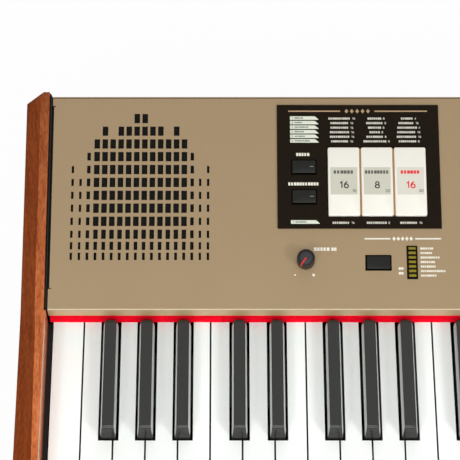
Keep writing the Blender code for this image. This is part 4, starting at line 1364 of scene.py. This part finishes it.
@dataclass
class PushButton:
    """A black push-button cap with a soft top and, on some, a small light."""

    name: str
    light: bool
    corner: float = 0.0006
    rounding: float = 0.0008
    light_x: Flat = (0.0046, 0.0016)
    light_half: float = 0.0003
    light_sink: float = 0.0002
    light_rise: float = 0.00008

    def build(self) -> None:
        """Make the cap over its node's place, and its light."""
        low, high = panel_box(self.name)
        shape = Shape().box(low, high)
        shape.soften(self.corner, 3, pick=upright(0.003))
        shape.soften(self.rounding, 4, 50, pick=over(high.z))
        cap = shape.piece(f"{self.name}_cap", CAP, self.name, PLANE.matrix())
        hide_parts(self.name)
        if self.light:
            left, right = (high.x - inset for inset in self.light_x)
            middle_t = (low.y + high.y) / 2
            lens = Shape().box((left, middle_t - self.light_half, high.z - self.light_sink),
                               (right, middle_t + self.light_half, high.z + self.light_rise))
            lens.soften(0.0001, 2)
            lens.piece(f"{self.name}_light", TICK, self.name, PLANE.matrix())


@dataclass
class RotaryKnob:
    """A spun black knob with a red pointer, at its lowest setting.

    Its flat top has a shallow dish, a groove round the dish and a rounded rim.
    """

    name: str
    x: float
    t: float
    base: float
    radius: float = 0.00665
    height: float = 0.0095
    sides: int = 64
    taper: float = 0.0001
    groove_inset: float = 0.0013
    groove_depth: float = 0.00055
    groove_wall: float = 0.0003
    groove_edge: Flat = (0.0009, 0.00030)
    dish_depth: float = 0.00035
    rim_round: float = 0.0005
    rim_steps: int = 4
    foot_chamfer: float = 0.0004
    shaft: Flat = (0.0028, -0.0068)
    pointer_turn: float = math.radians(33)
    pointer_half: float = 0.00045
    pointer_rise: float = 0.00012
    pointer_start: float = 0.0002
    pointer_sink: float = 0.0006
    pointer_foot: Flat = (0.00004, 0.0055)

    def profile(self) -> list[Flat]:
        """Give the knob's profile from the middle of its top to the shaft's end.

        Returns:
            Its points as (radius, height).
        """
        top = self.base + self.height
        rim = self.radius - self.taper
        groove = rim - self.groove_inset
        wall, floor = self.groove_wall, top - self.groove_depth
        points = [(0, top - self.dish_depth), (groove - self.groove_edge[0], top - self.groove_edge[1]),
                  (groove - wall, floor), (groove, floor), (groove + wall, top)]
        for i in range(self.rim_steps + 1):
            angle = math.pi / 2 * i / self.rim_steps
            points.append((rim - self.rim_round * (1 - math.sin(angle)),
                           top - self.rim_round * (1 - math.cos(angle))))
        shaft, end = self.shaft
        return points + [(self.radius, self.base + self.foot_chamfer),
                         (self.radius - self.foot_chamfer, self.base),
                         (shaft, self.base), (shaft, end), (0, end)]

    def pointer(self) -> Shape:
        """Give the pointer, which runs from the top's middle over the rim and down the side.

        Returns:
            The pointer's shape.
        """
        top = self.base + self.height
        rim = self.radius - self.taper
        half = self.pointer_half
        over_top, sink = top + self.pointer_rise, self.pointer_sink
        stand, reach = self.pointer_foot
        stations = ((self.pointer_start, top - sink, over_top), (rim - 0.0003, top - sink - 0.0002, over_top),
                    (rim + self.taper, top - 2 * sink, top - sink / 2),
                    (self.radius + stand, top - reach, top - reach + 0.0001))
        return Shape().loft([[(x, -r, h) for x, h in ((-half, low), (half, low), (half, high), (-half, high))]
                             for r, low, high in stations])

    def build(self) -> None:
        """Turn the knob and lay its pointer on it."""
        place = PLANE.at(self.x, self.t)
        cap = Shape().turned(self.profile(), self.sides).piece(f"{self.name}_cap", SPUN, self.name, place)
        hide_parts(self.name)
        turn = Matrix.Rotation(-self.pointer_turn, 4, "Z")
        self.pointer().piece(f"{self.name}_pointer", POINTER, self.name, place @ turn)


@dataclass
class LightBar:
    """The row of small olive lights in its black frame, with its board under the panel."""

    count: int = 7
    first_t: float = 0.0473
    last_t: float = 0.0262
    x: Flat = (-0.2651, -0.2576)
    top: float = 0.0011
    lens: Flat = (0.0053, 0.0019)
    sink: float = 0.0003
    rise: float = 0.0002
    rounding: float = 0.00015

    def lens_centres(self) -> list[Flat]:
        """Give the middle of each light, from the rear.

        Returns:
            The panel coordinates of each.
        """
        middle = sum(self.x) / 2
        step = (self.last_t - self.first_t) / (self.count - 1)
        return [(middle, self.first_t + i * step) for i in range(self.count)]

    def build(self) -> None:
        """Dress the board, frame the bar and set in its lights."""
        dress_node("light_board", FRAME, self.rounding)
        lenses = Shape()
        for x, t in self.lens_centres():
            lenses.box((x - self.lens[0] / 2, t - self.lens[1] / 2, self.top - self.sink),
                       (x + self.lens[0] / 2, t + self.lens[1] / 2, self.top + self.rise))
        lenses.soften(0.0001, 2)
        lenses.piece("light_bar_lenses", LENS, CASE, PLANE.matrix())


@dataclass
class PanelPrint:
    """Marks printed straight on the metal, round the lower controls.

    A caption is its middle, its length and its height; a dot is its middle and its radius.
    """

    level: float = AIR
    rules: tuple[Flat, ...] = ((-0.2965, -0.2772), (-0.2587, -0.2394))
    rule_t: float = 0.05516
    rule_thick: float = 0.0011
    lozenge_x: float = -0.2681
    lozenge_pitch: float = 0.0032
    lozenge_half: Flat = (0.0013, 0.0018)
    knob_captions: tuple[tuple[Flat, float, float], ...] = (
        ((-0.3284, 0.0470), 0.0118, 0.0026), ((-0.3193, 0.0470), 0.0042, 0.0026))
    knob_dots: tuple[tuple[Flat, float], ...] = (
        ((-0.34855, 0.02689), 0.00062), ((-0.3348, 0.02682), 0.00105))
    light_lengths: tuple[float, ...] = (0.0098, 0.0090, 0.0142, 0.0108, 0.0114, 0.0186, 0.0118)
    light_x: float = -0.2551
    light_lift: float = 0.0002
    light_height: float = 0.0016
    side_captions: tuple[tuple[Flat, float, float], ...] = (
        ((-0.2697, 0.0319), 0.0038, 0.0019), ((-0.2697, 0.0282), 0.0038, 0.0019))

    def build(self) -> None:
        """Print the rules, dots and rows of blocks."""
        sheet = PrintSheet(self.level)
        lozenges = [self.lozenge_x + i * self.lozenge_pitch for i in range(-2, 3)]
        sheet.divider(self.rules, self.rule_t, self.rule_thick, lozenges, self.lozenge_half)
        for caption in self.knob_captions:
            sheet.blocks(*caption)
        for dot in self.knob_dots:
            sheet.dot(*dot)
        for length, (_, t) in zip(self.light_lengths, LightBar().lens_centres()):
            sheet.blocks((self.light_x + length / 2, t + self.light_lift), length, self.light_height)
        for caption in self.side_captions:
            sheet.blocks(*caption)
        sheet.print("panel_marks", WHITE_PRINT)


@dataclass
class Felt:
    """The strip of red felt behind the keys, tucked in behind the panel's lip."""

    step: float = 0.0016
    rows: int = 7
    tuck: float = 0.0024
    lip_thick: float = 0.0018
    inset: float = 0.0002
    lean: float = 0.0018
    swell: float = 0.00018
    swell_scale: Flat = (90.0, 260.0)
    round_edge: float = 0.0003

    def build(self) -> None:
        """Make the strip with a lightly uneven face."""
        low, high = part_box("key_felt")
        columns = int((high.x - low.x) / self.step)
        behind = node_span("top_panel", 1)[0] + self.lip_thick
        top = high.z + self.tuck
        scale_x, scale_z = self.swell_scale
        sections = []
        for i in range(columns + 1):
            x = low.x + (high.x - low.x) * i / columns
            section = []
            for j in range(self.rows + 1):
                share = j / self.rows
                z = low.z + (high.z - low.z) * share
                swell = self.swell * noise.noise(Vector((x * scale_x, z * scale_z, 0)))
                edge = self.round_edge if j in (0, self.rows) else 0.0
                section.append((x, low.y + self.inset + self.lean * share + swell + edge, z))
            section += [(x, behind, high.z), (x, behind, top), (x, high.y, top), (x, high.y, low.z)]
            sections.append(section)
        strip = Shape().loft(sections).piece("red_felt_strip", FELT, CASE, smooth=60)
        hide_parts("key_felt")


@dataclass
class WhiteKey:
    """One white key, with its notches beside the black keys."""

    low: float
    high: float
    left_notch: float | None
    right_notch: float | None
    front: float
    tail: float
    shoulder: float
    top: float = 0.075
    height: float = 0.019
    lip: float = 0.0024
    overhang: float = 0.0009
    side_step: float = 0.0002

    def outline(self, step: float, front: float) -> list[Flat]:
        """Give the plan outline.

        Args:
            step: How far the sides are drawn in.
            front: Where the front face lies.

        Returns:
            The outline's points.
        """
        low, high = self.low + step, self.high - step
        points = [(low, front), (high, front)]
        if self.right_notch is None:
            points.append((high, self.tail))
        else:
            side = self.right_notch - step
            points += [(high, self.shoulder - step), (side, self.shoulder - step), (side, self.tail)]
        if self.left_notch is None:
            points.append((low, self.tail))
        else:
            side = self.left_notch + step
            points += [(side, self.tail), (side, self.shoulder - step), (low, self.shoulder - step)]
        return points

    def add_to(self, shape: Shape) -> None:
        """Add the key to a shape.

        Args:
            shape: The shape to add to.
        """
        inner = self.outline(self.side_step, self.front + self.overhang)
        outer = self.outline(0.0, self.front)
        levels = [(inner, self.top - self.height), (inner, self.top - self.lip),
                  (outer, self.top - self.lip), (outer, self.top)]
        shape.loft([[(x, y, z) for x, y in points] for points, z in levels])


@dataclass
class BlackKey:
    """One black key: leaning sides, a rounded rear and a sloping front."""

    centre: float
    front: float
    rear: float
    tail: float
    base_z: float = 0.0735
    top_z: float = 0.087
    base_width: float = 0.0114
    top_width: float = 0.0087
    lean_height: float = 0.0064
    edge: float = 0.0005
    slope: float = 0.0052
    rear_reach: float = 0.0052
    rear_fall: float = 0.45
    rear_inset: float = 0.0034
    rear_dome: float = 0.0010
    rear_steps: int = 8
    nose: float = 0.0004
    nose_inset: float = 0.0006
    nose_lifts: Flat = (0.16, 0.24)
    slope_lift: float = 0.80
    slope_start: float = 0.55
    slope_steps: int = 4
    stick_half: float = 0.0045
    stick_inset: float = 0.0040
    stick_z: Flat = (0.0640, 0.0738)

    def section(self, y: float, inset: float, lift: float, dome: float = 0.0) -> list[Solid]:
        """Give the cross section at a place along the key.

        Args:
            y: The place.
            inset: How far the sides are drawn in.
            lift: The top's share of its full height.
            dome: How much rounder than usual the upper edges are.

        Returns:
            The section's points.
        """
        edge = self.edge + dome
        lean = (self.base_width - self.top_width) / 2
        half = self.base_width / 2 - inset
        height = (self.top_z - self.base_z) * lift
        top_half = half - lean * lift
        waist = height - self.lean_height * lift
        points = [(-half, 0.0), (half, 0.0), (half, waist)]
        for i in range(4):
            angle = math.pi / 2 * i / 3
            points.append((top_half - edge * (1 - math.cos(angle)), height - edge * (1 - math.sin(angle))))
        points += [(-x, z) for x, z in reversed(points[2:])]
        return [(self.centre + x, y, self.base_z + z) for x, z in points]

    def stations(self) -> list[tuple[float, float, float, float]]:
        """Give the stations from the front to the rear.

        Returns:
            Each station's (y, inset, lift, dome).
        """
        found = [(self.front, self.nose_inset, self.nose_lifts[0], 0.0),
                 (self.front + self.nose, 0.0, self.nose_lifts[1], 0.0)]
        for i in range(self.slope_steps + 1):
            share = i / self.slope_steps
            place = self.slope_start + (1 - self.slope_start) * share
            lift = self.slope_lift + (1 - self.slope_lift) * math.sin(math.pi / 2 * share)
            found.append((self.front + self.slope * place, 0.0, lift, 0.0))
        for i in range(self.rear_steps + 1):
            angle = math.pi / 2 * i / self.rear_steps
            turn = 1 - math.cos(angle)
            found.append((self.rear - self.rear_reach * (1 - math.sin(angle)), self.rear_inset * turn ** 1.3,
                          1.0 - self.rear_fall * turn, self.rear_dome * turn))
        return found

    def add_to(self, shape: Shape) -> None:
        """Add the key's cap and its stick to a shape.

        Args:
            shape: The shape to add to.
        """
        shape.loft([self.section(*station) for station in self.stations()])
        low, high = self.stick_z
        shape.box((self.centre - self.stick_half, self.front + self.stick_inset, low),
                  (self.centre + self.stick_half, self.tail, high))


@dataclass
class Keyboard:
    """All the keys, in the frame's nodes: single ones at the bass end and combs above."""

    pitch: float = 0.0235
    count: int = 45
    gap: float = 0.0013
    notch: float = 0.0149
    front: float = -0.150
    sharp_front: float = -0.100
    sharp_rear: float = -0.0076
    shoulder_air: float = 0.0015
    tail: float = 0.070
    sharp_tail: float = 0.076
    rounding: float = 0.00045
    single_octaves: int = 2
    last_comb: int = 6
    letters: str = "cdefgab"
    first_letter: int = 2
    offsets: dict[str, float] = field(default_factory=lambda: {
        "c": -0.00215, "d": 0.00215, "f": -0.0033, "g": 0.0, "a": 0.0035})

    def edge(self, index: int) -> float:
        """Give the line between a white key and the one before it."""
        return (index - self.count / 2) * self.pitch

    def letter(self, index: int) -> str:
        """Give a white key's letter, from the E at the bass end."""
        return self.letters[(index + self.first_letter) % len(self.letters)]

    def octave(self, index: int) -> int:
        """Give a white key's octave number."""
        return 1 + (index + self.first_letter) // len(self.letters)

    def sharp_after(self, index: int) -> float | None:
        """Give the place of the black key after a white key.

        Args:
            index: The white key's place in the row.

        Returns:
            The black key's middle, or None where there is none.
        """
        letter = self.letter(index)
        if letter not in self.offsets or not 0 <= index < self.count - 1:
            return None
        return self.edge(index + 1) + self.offsets[letter]

    def body(self, index: int, single: str, comb: str) -> str:
        """Give the body that a key belongs to.

        Args:
            index: The white key's place in the row, or that of the one before a black key.
            single: What follows the letter and octave in a single key's name.
            comb: What a comb's name starts with.

        Returns:
            The body's name.
        """
        octave = self.octave(index)
        if octave <= self.single_octaves:
            return f"key_{self.letter(index)}{octave}{single}"
        return f"{comb}_{min(octave, self.last_comb)}"

    def white(self, index: int) -> WhiteKey:
        """Give a white key's sizes.

        Args:
            index: The key's place in the row.

        Returns:
            The key.
        """
        before = self.sharp_after(index - 1) if index else None
        after = self.sharp_after(index)
        return WhiteKey(self.edge(index) + self.gap / 2, self.edge(index + 1) - self.gap / 2,
                        None if before is None else before + self.notch / 2,
                        None if after is None else after - self.notch / 2,
                        self.front, self.tail, self.sharp_front - self.shoulder_air)

    def build(self) -> None:
        """Make every key, each as a piece of its own."""
        standing: set[str] = set()
        for index in range(self.count):
            note = f"{self.letter(index)}{self.octave(index)}"
            shape = Shape()
            self.white(index).add_to(shape)
            shape.soften(self.rounding, 3, 40)
            self.hand_over(shape, f"white_{note}", WHITE, self.body(index, "", "naturals"), standing)
            centre = self.sharp_after(index)
            if centre is None:
                continue
            shape = Shape()
            BlackKey(centre, self.sharp_front, self.sharp_rear, self.sharp_tail).add_to(shape)
            self.hand_over(shape, f"black_{note}_sharp", SHARP,
                           self.body(index, "_sharp", "sharps"), standing)

    def hand_over(self, shape: Shape, name: str, finish: Finish, body: str, standing: set[str]) -> None:
        """Turn a key's shape into a piece that stands for its node.

        Args:
            shape: The key.
            name: The piece's name.
            finish: What it is made of.
            body: The body and node that it belongs to.
            standing: The nodes that a piece stands for already.
        """
        key = shape.piece(name, finish, body)
        if body not in standing:
            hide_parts(body)
            standing.add(body)


@dataclass
class Case:
    """The rest of the case: rail, tray, end blocks, feet, key bed and boards."""

    rail_rounding: float = 0.0008
    tray_rounding: float = 0.0004

    def build(self) -> None:
        """Dress the nodes that keep their own shape."""
        dress_node("front_rail", RAIL, self.rail_rounding, 3)
        dress_node("base_pan", STEEL, self.tray_rounding)
        dress_node("key_frame", STEEL)
        dress_node("contact_board", BOARD)
        dress_node("main_board", BOARD)
        dress_node("power_supply", MILLED)
        for end in End:
            dress_node(f"{end.word}_key_block", BLACK)
            dress_node(f"{end.word}_foot_strip", RUBBER)


@dataclass(frozen=True)
class Nut:
    """A flat round nut about a rear socket: its place along the block, its radii and thickness."""

    x: float
    inner: float
    outer: float
    thick: float
    sides: int = 28

    def add_to(self, shape: Shape, rear: float, z: float) -> None:
        """Add the nut to a shape.

        Args:
            shape: The shape to add to.
            rear: Where the block's rear face lies.
            z: The height of the nut's middle.
        """
        turns = [math.tau * i / self.sides for i in range(self.sides)]
        front = rear + self.thick
        corners = ((self.inner, rear), (self.outer, rear), (self.outer, front), (self.inner, front))
        shape.loft([[(self.x + radius * math.cos(turn), y, z + radius * math.sin(turn)) for turn in turns]
                    for radius, y in corners], loop=True)


@dataclass
class RearSockets:
    """The socket block at the rear with its nuts, its mains pins and the power button.

    A pin's depth is that of its root and of its tip, inward from the block's rear face.
    """

    middle_z: float = 0.046
    rounding: float = 0.0004
    button_rounding: float = 0.0003
    nuts: tuple[Nut, ...] = (
        Nut(0.034, 0.0036, 0.0056, 0.0012), Nut(0.018, 0.0036, 0.0056, 0.0012),
        Nut(0.050, 0.0046, 0.0062, 0.0010), Nut(0.096, 0.0076, 0.0088, 0.0008),
        Nut(0.072, 0.0076, 0.0088, 0.0008))
    inlet_x: float = 0.138
    pins: tuple[Flat, ...] = ((-0.0065, -0.002), (0.0065, -0.002), (0.0, 0.004))
    pin_half: Flat = (0.001, 0.002)
    pin_depth: Flat = (0.0155, 0.0040)

    def build(self) -> None:
        """Dress the block and add its metal parts."""
        dress_node("socket_block", BLACK, self.rounding)
        rear = node_span("socket_block", 1)[1] + AIR
        rings = Shape()
        for nut in self.nuts:
            nut.add_to(rings, rear, self.middle_z)
        rings.soften(0.0002, 2, 50)
        rings.piece("socket_rings", NICKEL, CASE)
        pins = Shape()
        half_x, half_z = self.pin_half
        deep, shallow = self.pin_depth
        for x, z in self.pins:
            middle_x, middle_z = self.inlet_x + x, self.middle_z + z
            pins.box((middle_x - half_x, rear - deep, middle_z - half_z),
                     (middle_x + half_x, rear - shallow, middle_z + half_z))
        pins.soften(0.0004, 2)
        pins.piece("mains_pins", NICKEL, CASE)
        dress_node("power_button", BLACK, self.button_rounding)


@dataclass
class Fastenings:
    """Socket-head screws on the rear and underside, and the tray's pressed ribs.

    Shoulder, crown and recess are shares of a head's radius and height. A rib is half its length,
    half its width and its depth, and its end a run and the share that is left there.
    """

    along: tuple[float, ...] = (0.075, 0.22, 0.36, 0.50)
    flange_z: float = 0.1090
    foot_z: float = 0.0145
    under_y: tuple[float, ...] = (-0.125, 0.0, 0.125)
    radius: float = 0.0032
    height: float = 0.0011
    points: int = 24
    shoulder: Flat = (0.88, 0.9)
    crown: float = 0.70
    recess: Flat = (0.42, 0.3)
    rib: Solid = (0.480, 0.0060, 0.0009)
    rib_y: tuple[float, ...] = (-0.065, 0.065)
    rib_end: Flat = (0.006, 0.3)

    def ring(self, radius: float, height: float, hexagon: bool = False) -> list[Vector]:
        """Give one level of a screw.

        Args:
            radius: The radius of its circle, or of the circle inside its hexagon.
            height: Its height over the screw's seat.
            hexagon: Whether it is a hexagon.

        Returns:
            Its points.
        """
        spots = []
        for i in range(self.points):
            angle = math.tau * i / self.points
            reach = radius / math.cos(angle % (math.pi / 3) - math.pi / 6) if hexagon else radius
            spots.append(Vector((reach * math.cos(angle), reach * math.sin(angle), height)))
        return spots

    def screw(self, shape: Shape, place: Matrix) -> None:
        """Add a pan head with a six-sided socket.

        Args:
            shape: The shape to add to.
            place: Where its seat lies, with the head along Z.
        """
        radius, rise = self.radius, self.height
        recess = radius * self.recess[0]
        rings = [self.ring(radius, 0.0), self.ring(radius, rise * 0.5),
                 self.ring(radius * self.shoulder[0], rise * self.shoulder[1]),
                 self.ring(radius * self.crown, rise), self.ring(recess, rise, True),
                 self.ring(recess, rise * self.recess[1], True)]
        shape.loft([[place @ spot for spot in ring] for ring in rings])

    def press_ribs(self, level: float) -> None:
        """Press the ribs into the tray's bottom.

        Args:
            level: Where the bottom lies.
        """
        ribs = Shape()
        length, width, depth = self.rib
        bow = arc((0.0, 0.0), (width, -depth), 0.0, 180.0, 8)
        for y in self.rib_y:
            ribs.loft([[(x, y + v * share, level + w * share) for v, w in bow]
                       for x, share in pressed(length, *self.rib_end)])
        ribs.piece("tray_ribs", STEEL, CASE)

    def build(self) -> None:
        """Drive the screws and press the ribs."""
        screws = Shape()
        to_rear = Matrix.Rotation(-math.pi / 2, 4, "X")
        down = Matrix.Rotation(math.pi, 4, "X")
        tray_low, tray_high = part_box("base_pan")
        flange = node_span("top_panel", 1)[1] + AIR
        for x in self.along:
            for end in End:
                for y, z in ((flange, self.flange_z), (tray_high.y + AIR, self.foot_z)):
                    self.screw(screws, Matrix.Translation((end.value * x, y, z)) @ to_rear)
                for y in self.under_y:
                    self.screw(screws, Matrix.Translation((end.value * x, y, tray_low.z - AIR)) @ down)
        screws.piece("case_screws", SCREW, CASE, smooth=30)
        self.press_ribs(tray_low.z - AIR)


@dataclass
class Louvres:
    """Pressed air louvres in the tray's rear wall, behind the power supply."""

    columns: tuple[float, ...] = (0.262, 0.300, 0.338)
    rows: tuple[float, ...] = (0.0340, 0.0420, 0.0500, 0.0580, 0.0660)
    half: float = 0.0155
    hood: Flat = (0.0015, 0.0030)
    hood_end: Flat = (0.0025, 0.15)
    slot: Flat = (0.0140, 0.0013)

    def build(self) -> None:
        """Press the hoods, and put painted shade on the slots under them."""
        rear = node_span("base_pan", 1)[1] + AIR
        hoods = Shape()
        slots = Shape()
        bow = [(0.0, 0.0)] + arc((0.0, 0.0), self.hood, 0.0, 90.0, 6)
        half, height = self.slot
        for x in self.columns:
            for z in self.rows:
                hoods.loft([[(x + at, rear + v * share, z + w * share) for v, w in bow]
                            for at, share in pressed(self.half, *self.hood_end)])
                # Painted shade: a dark sheet where each slot opens under its hood.
                slots.box((x - half, rear, z - height), (x + half, rear + AIR, z))
        hoods.piece("tray_louvres", STEEL, CASE)
        slots.piece("louvre_slots", SEAM_AND_SHADE, CASE)


@dataclass
class RearPrint:
    """Plain numbers over the rear sockets, and rules that group them."""

    places: tuple[float, ...] = (0.096, 0.072, 0.050, 0.034, 0.018)
    groups: tuple[Flat, ...] = ((0.011, 0.057), (0.063, 0.105), (0.122, 0.154))
    level: float = 0.0668
    size: float = 0.0042
    weight: float = 0.0006
    rule: Flat = (0.0040, 0.0045)

    def build(self) -> None:
        """Print the numbers so that they read from behind."""
        rear = node_span("base_pan", 1)[1] + AIR
        turn = Matrix(((-1, 0, 0, 0), (0, 0, 1, rear), (0, 1, 0, 0), (0, 0, 0, 1)))
        marks = Shape()
        for number, x in enumerate(self.places, start=1):
            marks.number(str(number), self.size, (-x, self.level), 0.0, self.weight)
        under, over = (self.level + rise for rise in self.rule)
        for low, high in self.groups:
            marks.box((-high, under, 0.0), (-low, over, PRINT_THICK))
        marks.piece("rear_marks", SOFT_PRINT, CASE, turn)


@dataclass(frozen=True)
class Lamp:
    """One soft box: its name, place, size and power in watts."""

    name: str
    place: Solid
    size: Flat
    power: float

    def hang(self, aim: Solid) -> None:
        """Hang the lamp.

        Args:
            aim: The point that it faces.
        """
        data = bpy.data.lights.new(self.name, "AREA")
        data.shape = "RECTANGLE"
        data.size, data.size_y = self.size
        data.energy = self.power
        item = bpy.data.objects.new(self.name, data)
        item.location = self.place
        item.rotation_euler = (Vector(aim) - Vector(self.place)).to_track_quat("-Z", "Y").to_euler()
        bpy.context.scene.collection.objects.link(item)


@dataclass
class Studio:
    """Floor, light and the photograph's camera."""

    pitch: float = math.radians(29.0)
    focal_pixels: float = 2132.0
    picture_pixels: float = 460.0
    sensor: float = 36.0
    eye: Solid = (-0.39685, -0.7161, 1.4979)
    reach: float = 50.0
    room_light: float = 0.20
    floor_half: float = 6.0
    floor_z: Flat = (-0.02, -0.0001)
    floor_grey: float = 0.9
    floor_roughness: float = 0.9
    floor_white: float = 0.97
    focus: Solid = (-0.39, 0.0, 0.1)
    lamps: tuple[Lamp, ...] = (
        Lamp("left_box", (-1.34, -1.52, 1.40), (0.5, 0.5), 12.5),
        Lamp("right_box", (0.96, -1.26, 1.30), (0.5, 0.5), 18.5),
        Lamp("high_box", (-0.39, -1.15, 2.10), (1.2, 1.0), 24.0),
        Lamp("low_box", (-0.39, -2.50, 0.75), (3.0, 0.8), 18.0),
        Lamp("rear_box", (0.30, 2.20, 0.90), (1.6, 0.8), 7.0))

    def camera(self) -> None:
        """Set the camera at the photograph's viewing angle."""
        data = bpy.data.cameras.new("camera")
        data.sensor_width = self.sensor
        data.lens = self.sensor * self.focal_pixels / self.picture_pixels
        data.clip_end = self.reach
        item = bpy.data.objects.new("camera", data)
        item.location = self.eye
        item.rotation_euler = (self.pitch, 0, 0)
        bpy.context.scene.collection.objects.link(item)
        bpy.context.scene.camera = item

    def white_to_the_eye(self, graph: Graph, shader: Socket, output: str, kind: str, share: float) -> None:
        """Show plain white in a shader's place to camera, mirror and see-through rays.

        Args:
            graph: The node tree.
            shader: The shader that lights and shadows act on.
            output: The name of the node that takes the result.
            kind: The plain shader's node type.
            share: How much of the white such rays see.
        """
        path = graph.add("ShaderNodeLightPath", {}).outputs
        bent = graph.maths("MAXIMUM", path["Is Glossy Ray"], path["Is Transmission Ray"])
        seen = graph.maths("MAXIMUM", path["Is Camera Ray"], bent)
        white = graph.add(kind, {"Color": (1.0, 1.0, 1.0, 1.0), "Strength": 1.0}).outputs[0]
        inputs = {0: graph.maths("MULTIPLY", seen, share), 1: shader, 2: white}
        mixed = graph.add("ShaderNodeMixShader", inputs).outputs[0]
        graph.tree.links.new(mixed, graph.tree.nodes[output].inputs["Surface"])

    def floor(self) -> None:
        """Lay the pale floor."""
        half = self.floor_half
        low, high = self.floor_z
        shape = Shape().box((-half, -half, low), (half, half, high))
        mesh = bpy.data.meshes.new("floor")
        shape.bm.to_mesh(mesh)
        shape.bm.free()
        nodes = Nodes("floor")
        nodes.shader.inputs["Base Color"].default_value = (*[self.floor_grey] * 3, 1.0)
        nodes.set(Roughness=self.floor_roughness)
        self.white_to_the_eye(nodes, nodes.shader.outputs[0], "Material Output",
                              "ShaderNodeEmission", self.floor_white)
        mesh.materials.append(nodes.material)
        item = bpy.data.objects.new("floor", mesh)
        bpy.context.scene.collection.objects.link(item)

    def world(self) -> None:
        """Fill the room with an even soft light."""
        world = bpy.data.worlds.new("room")
        bpy.context.scene.world = world
        world.use_nodes = True
        graph = Graph(world.node_tree)
        room = graph.tree.nodes["Background"]
        room.inputs["Color"].default_value = (1.0, 1.0, 1.0, 1.0)
        room.inputs["Strength"].default_value = self.room_light
        self.white_to_the_eye(graph, room.outputs[0], "World Output", "ShaderNodeBackground", 1.0)

    def build(self) -> None:
        """Set up the whole studio."""
        self.camera()
        self.floor()
        self.world()
        for lamp in self.lamps:
            lamp.hang(self.focus)
        bpy.context.scene.view_settings.view_transform = "Standard"


def builders() -> Iterable[object]:
    """List the organ's sub-assemblies in the order they are built.

    Returns:
        Objects with a build method.
    """
    tabs = (("1", "16", "10", 0.0152, False), ("2", "8", "20", 0.0182, False),
            ("3", "16", "30", 0.0146, True))
    yield Studio()
    for end in End:
        yield Cheek(end)
        yield GapStrip(end)
    yield Case()
    yield ControlPanel()
    yield StopPlate(End.BASS, "pedal")
    yield StopPlate(End.TREBLE, "manual")
    for number, *marks in tabs:
        yield RockerTab(f"pedal_tab_{number}", *marks)
        yield RockerTab(f"manual_tab_{number}", *marks)
    yield PushButton("pedal_button_upper", True)
    yield PushButton("pedal_button_lower", True)
    yield PushButton("preset_button", False)
    yield RotaryKnob("input_knob", -0.3406, 0.0374, 0.0005)
    yield RotaryKnob("volume_knob", 0.34145, 0.1000, 0.0017)
    yield LightBar()
    yield PanelPrint()
    yield Felt()
    yield Keyboard()
    yield RearSockets()
    yield Louvres()
    yield RearPrint()
    yield Fastenings()


def main() -> None:
    logging.basicConfig(level=logging.INFO, format="%(name)s: %(message)s")
    for builder in builders():
        builder.build()
        LOG.info("built %s", type(builder).__name__)


if __name__ == "__main__":
    main()
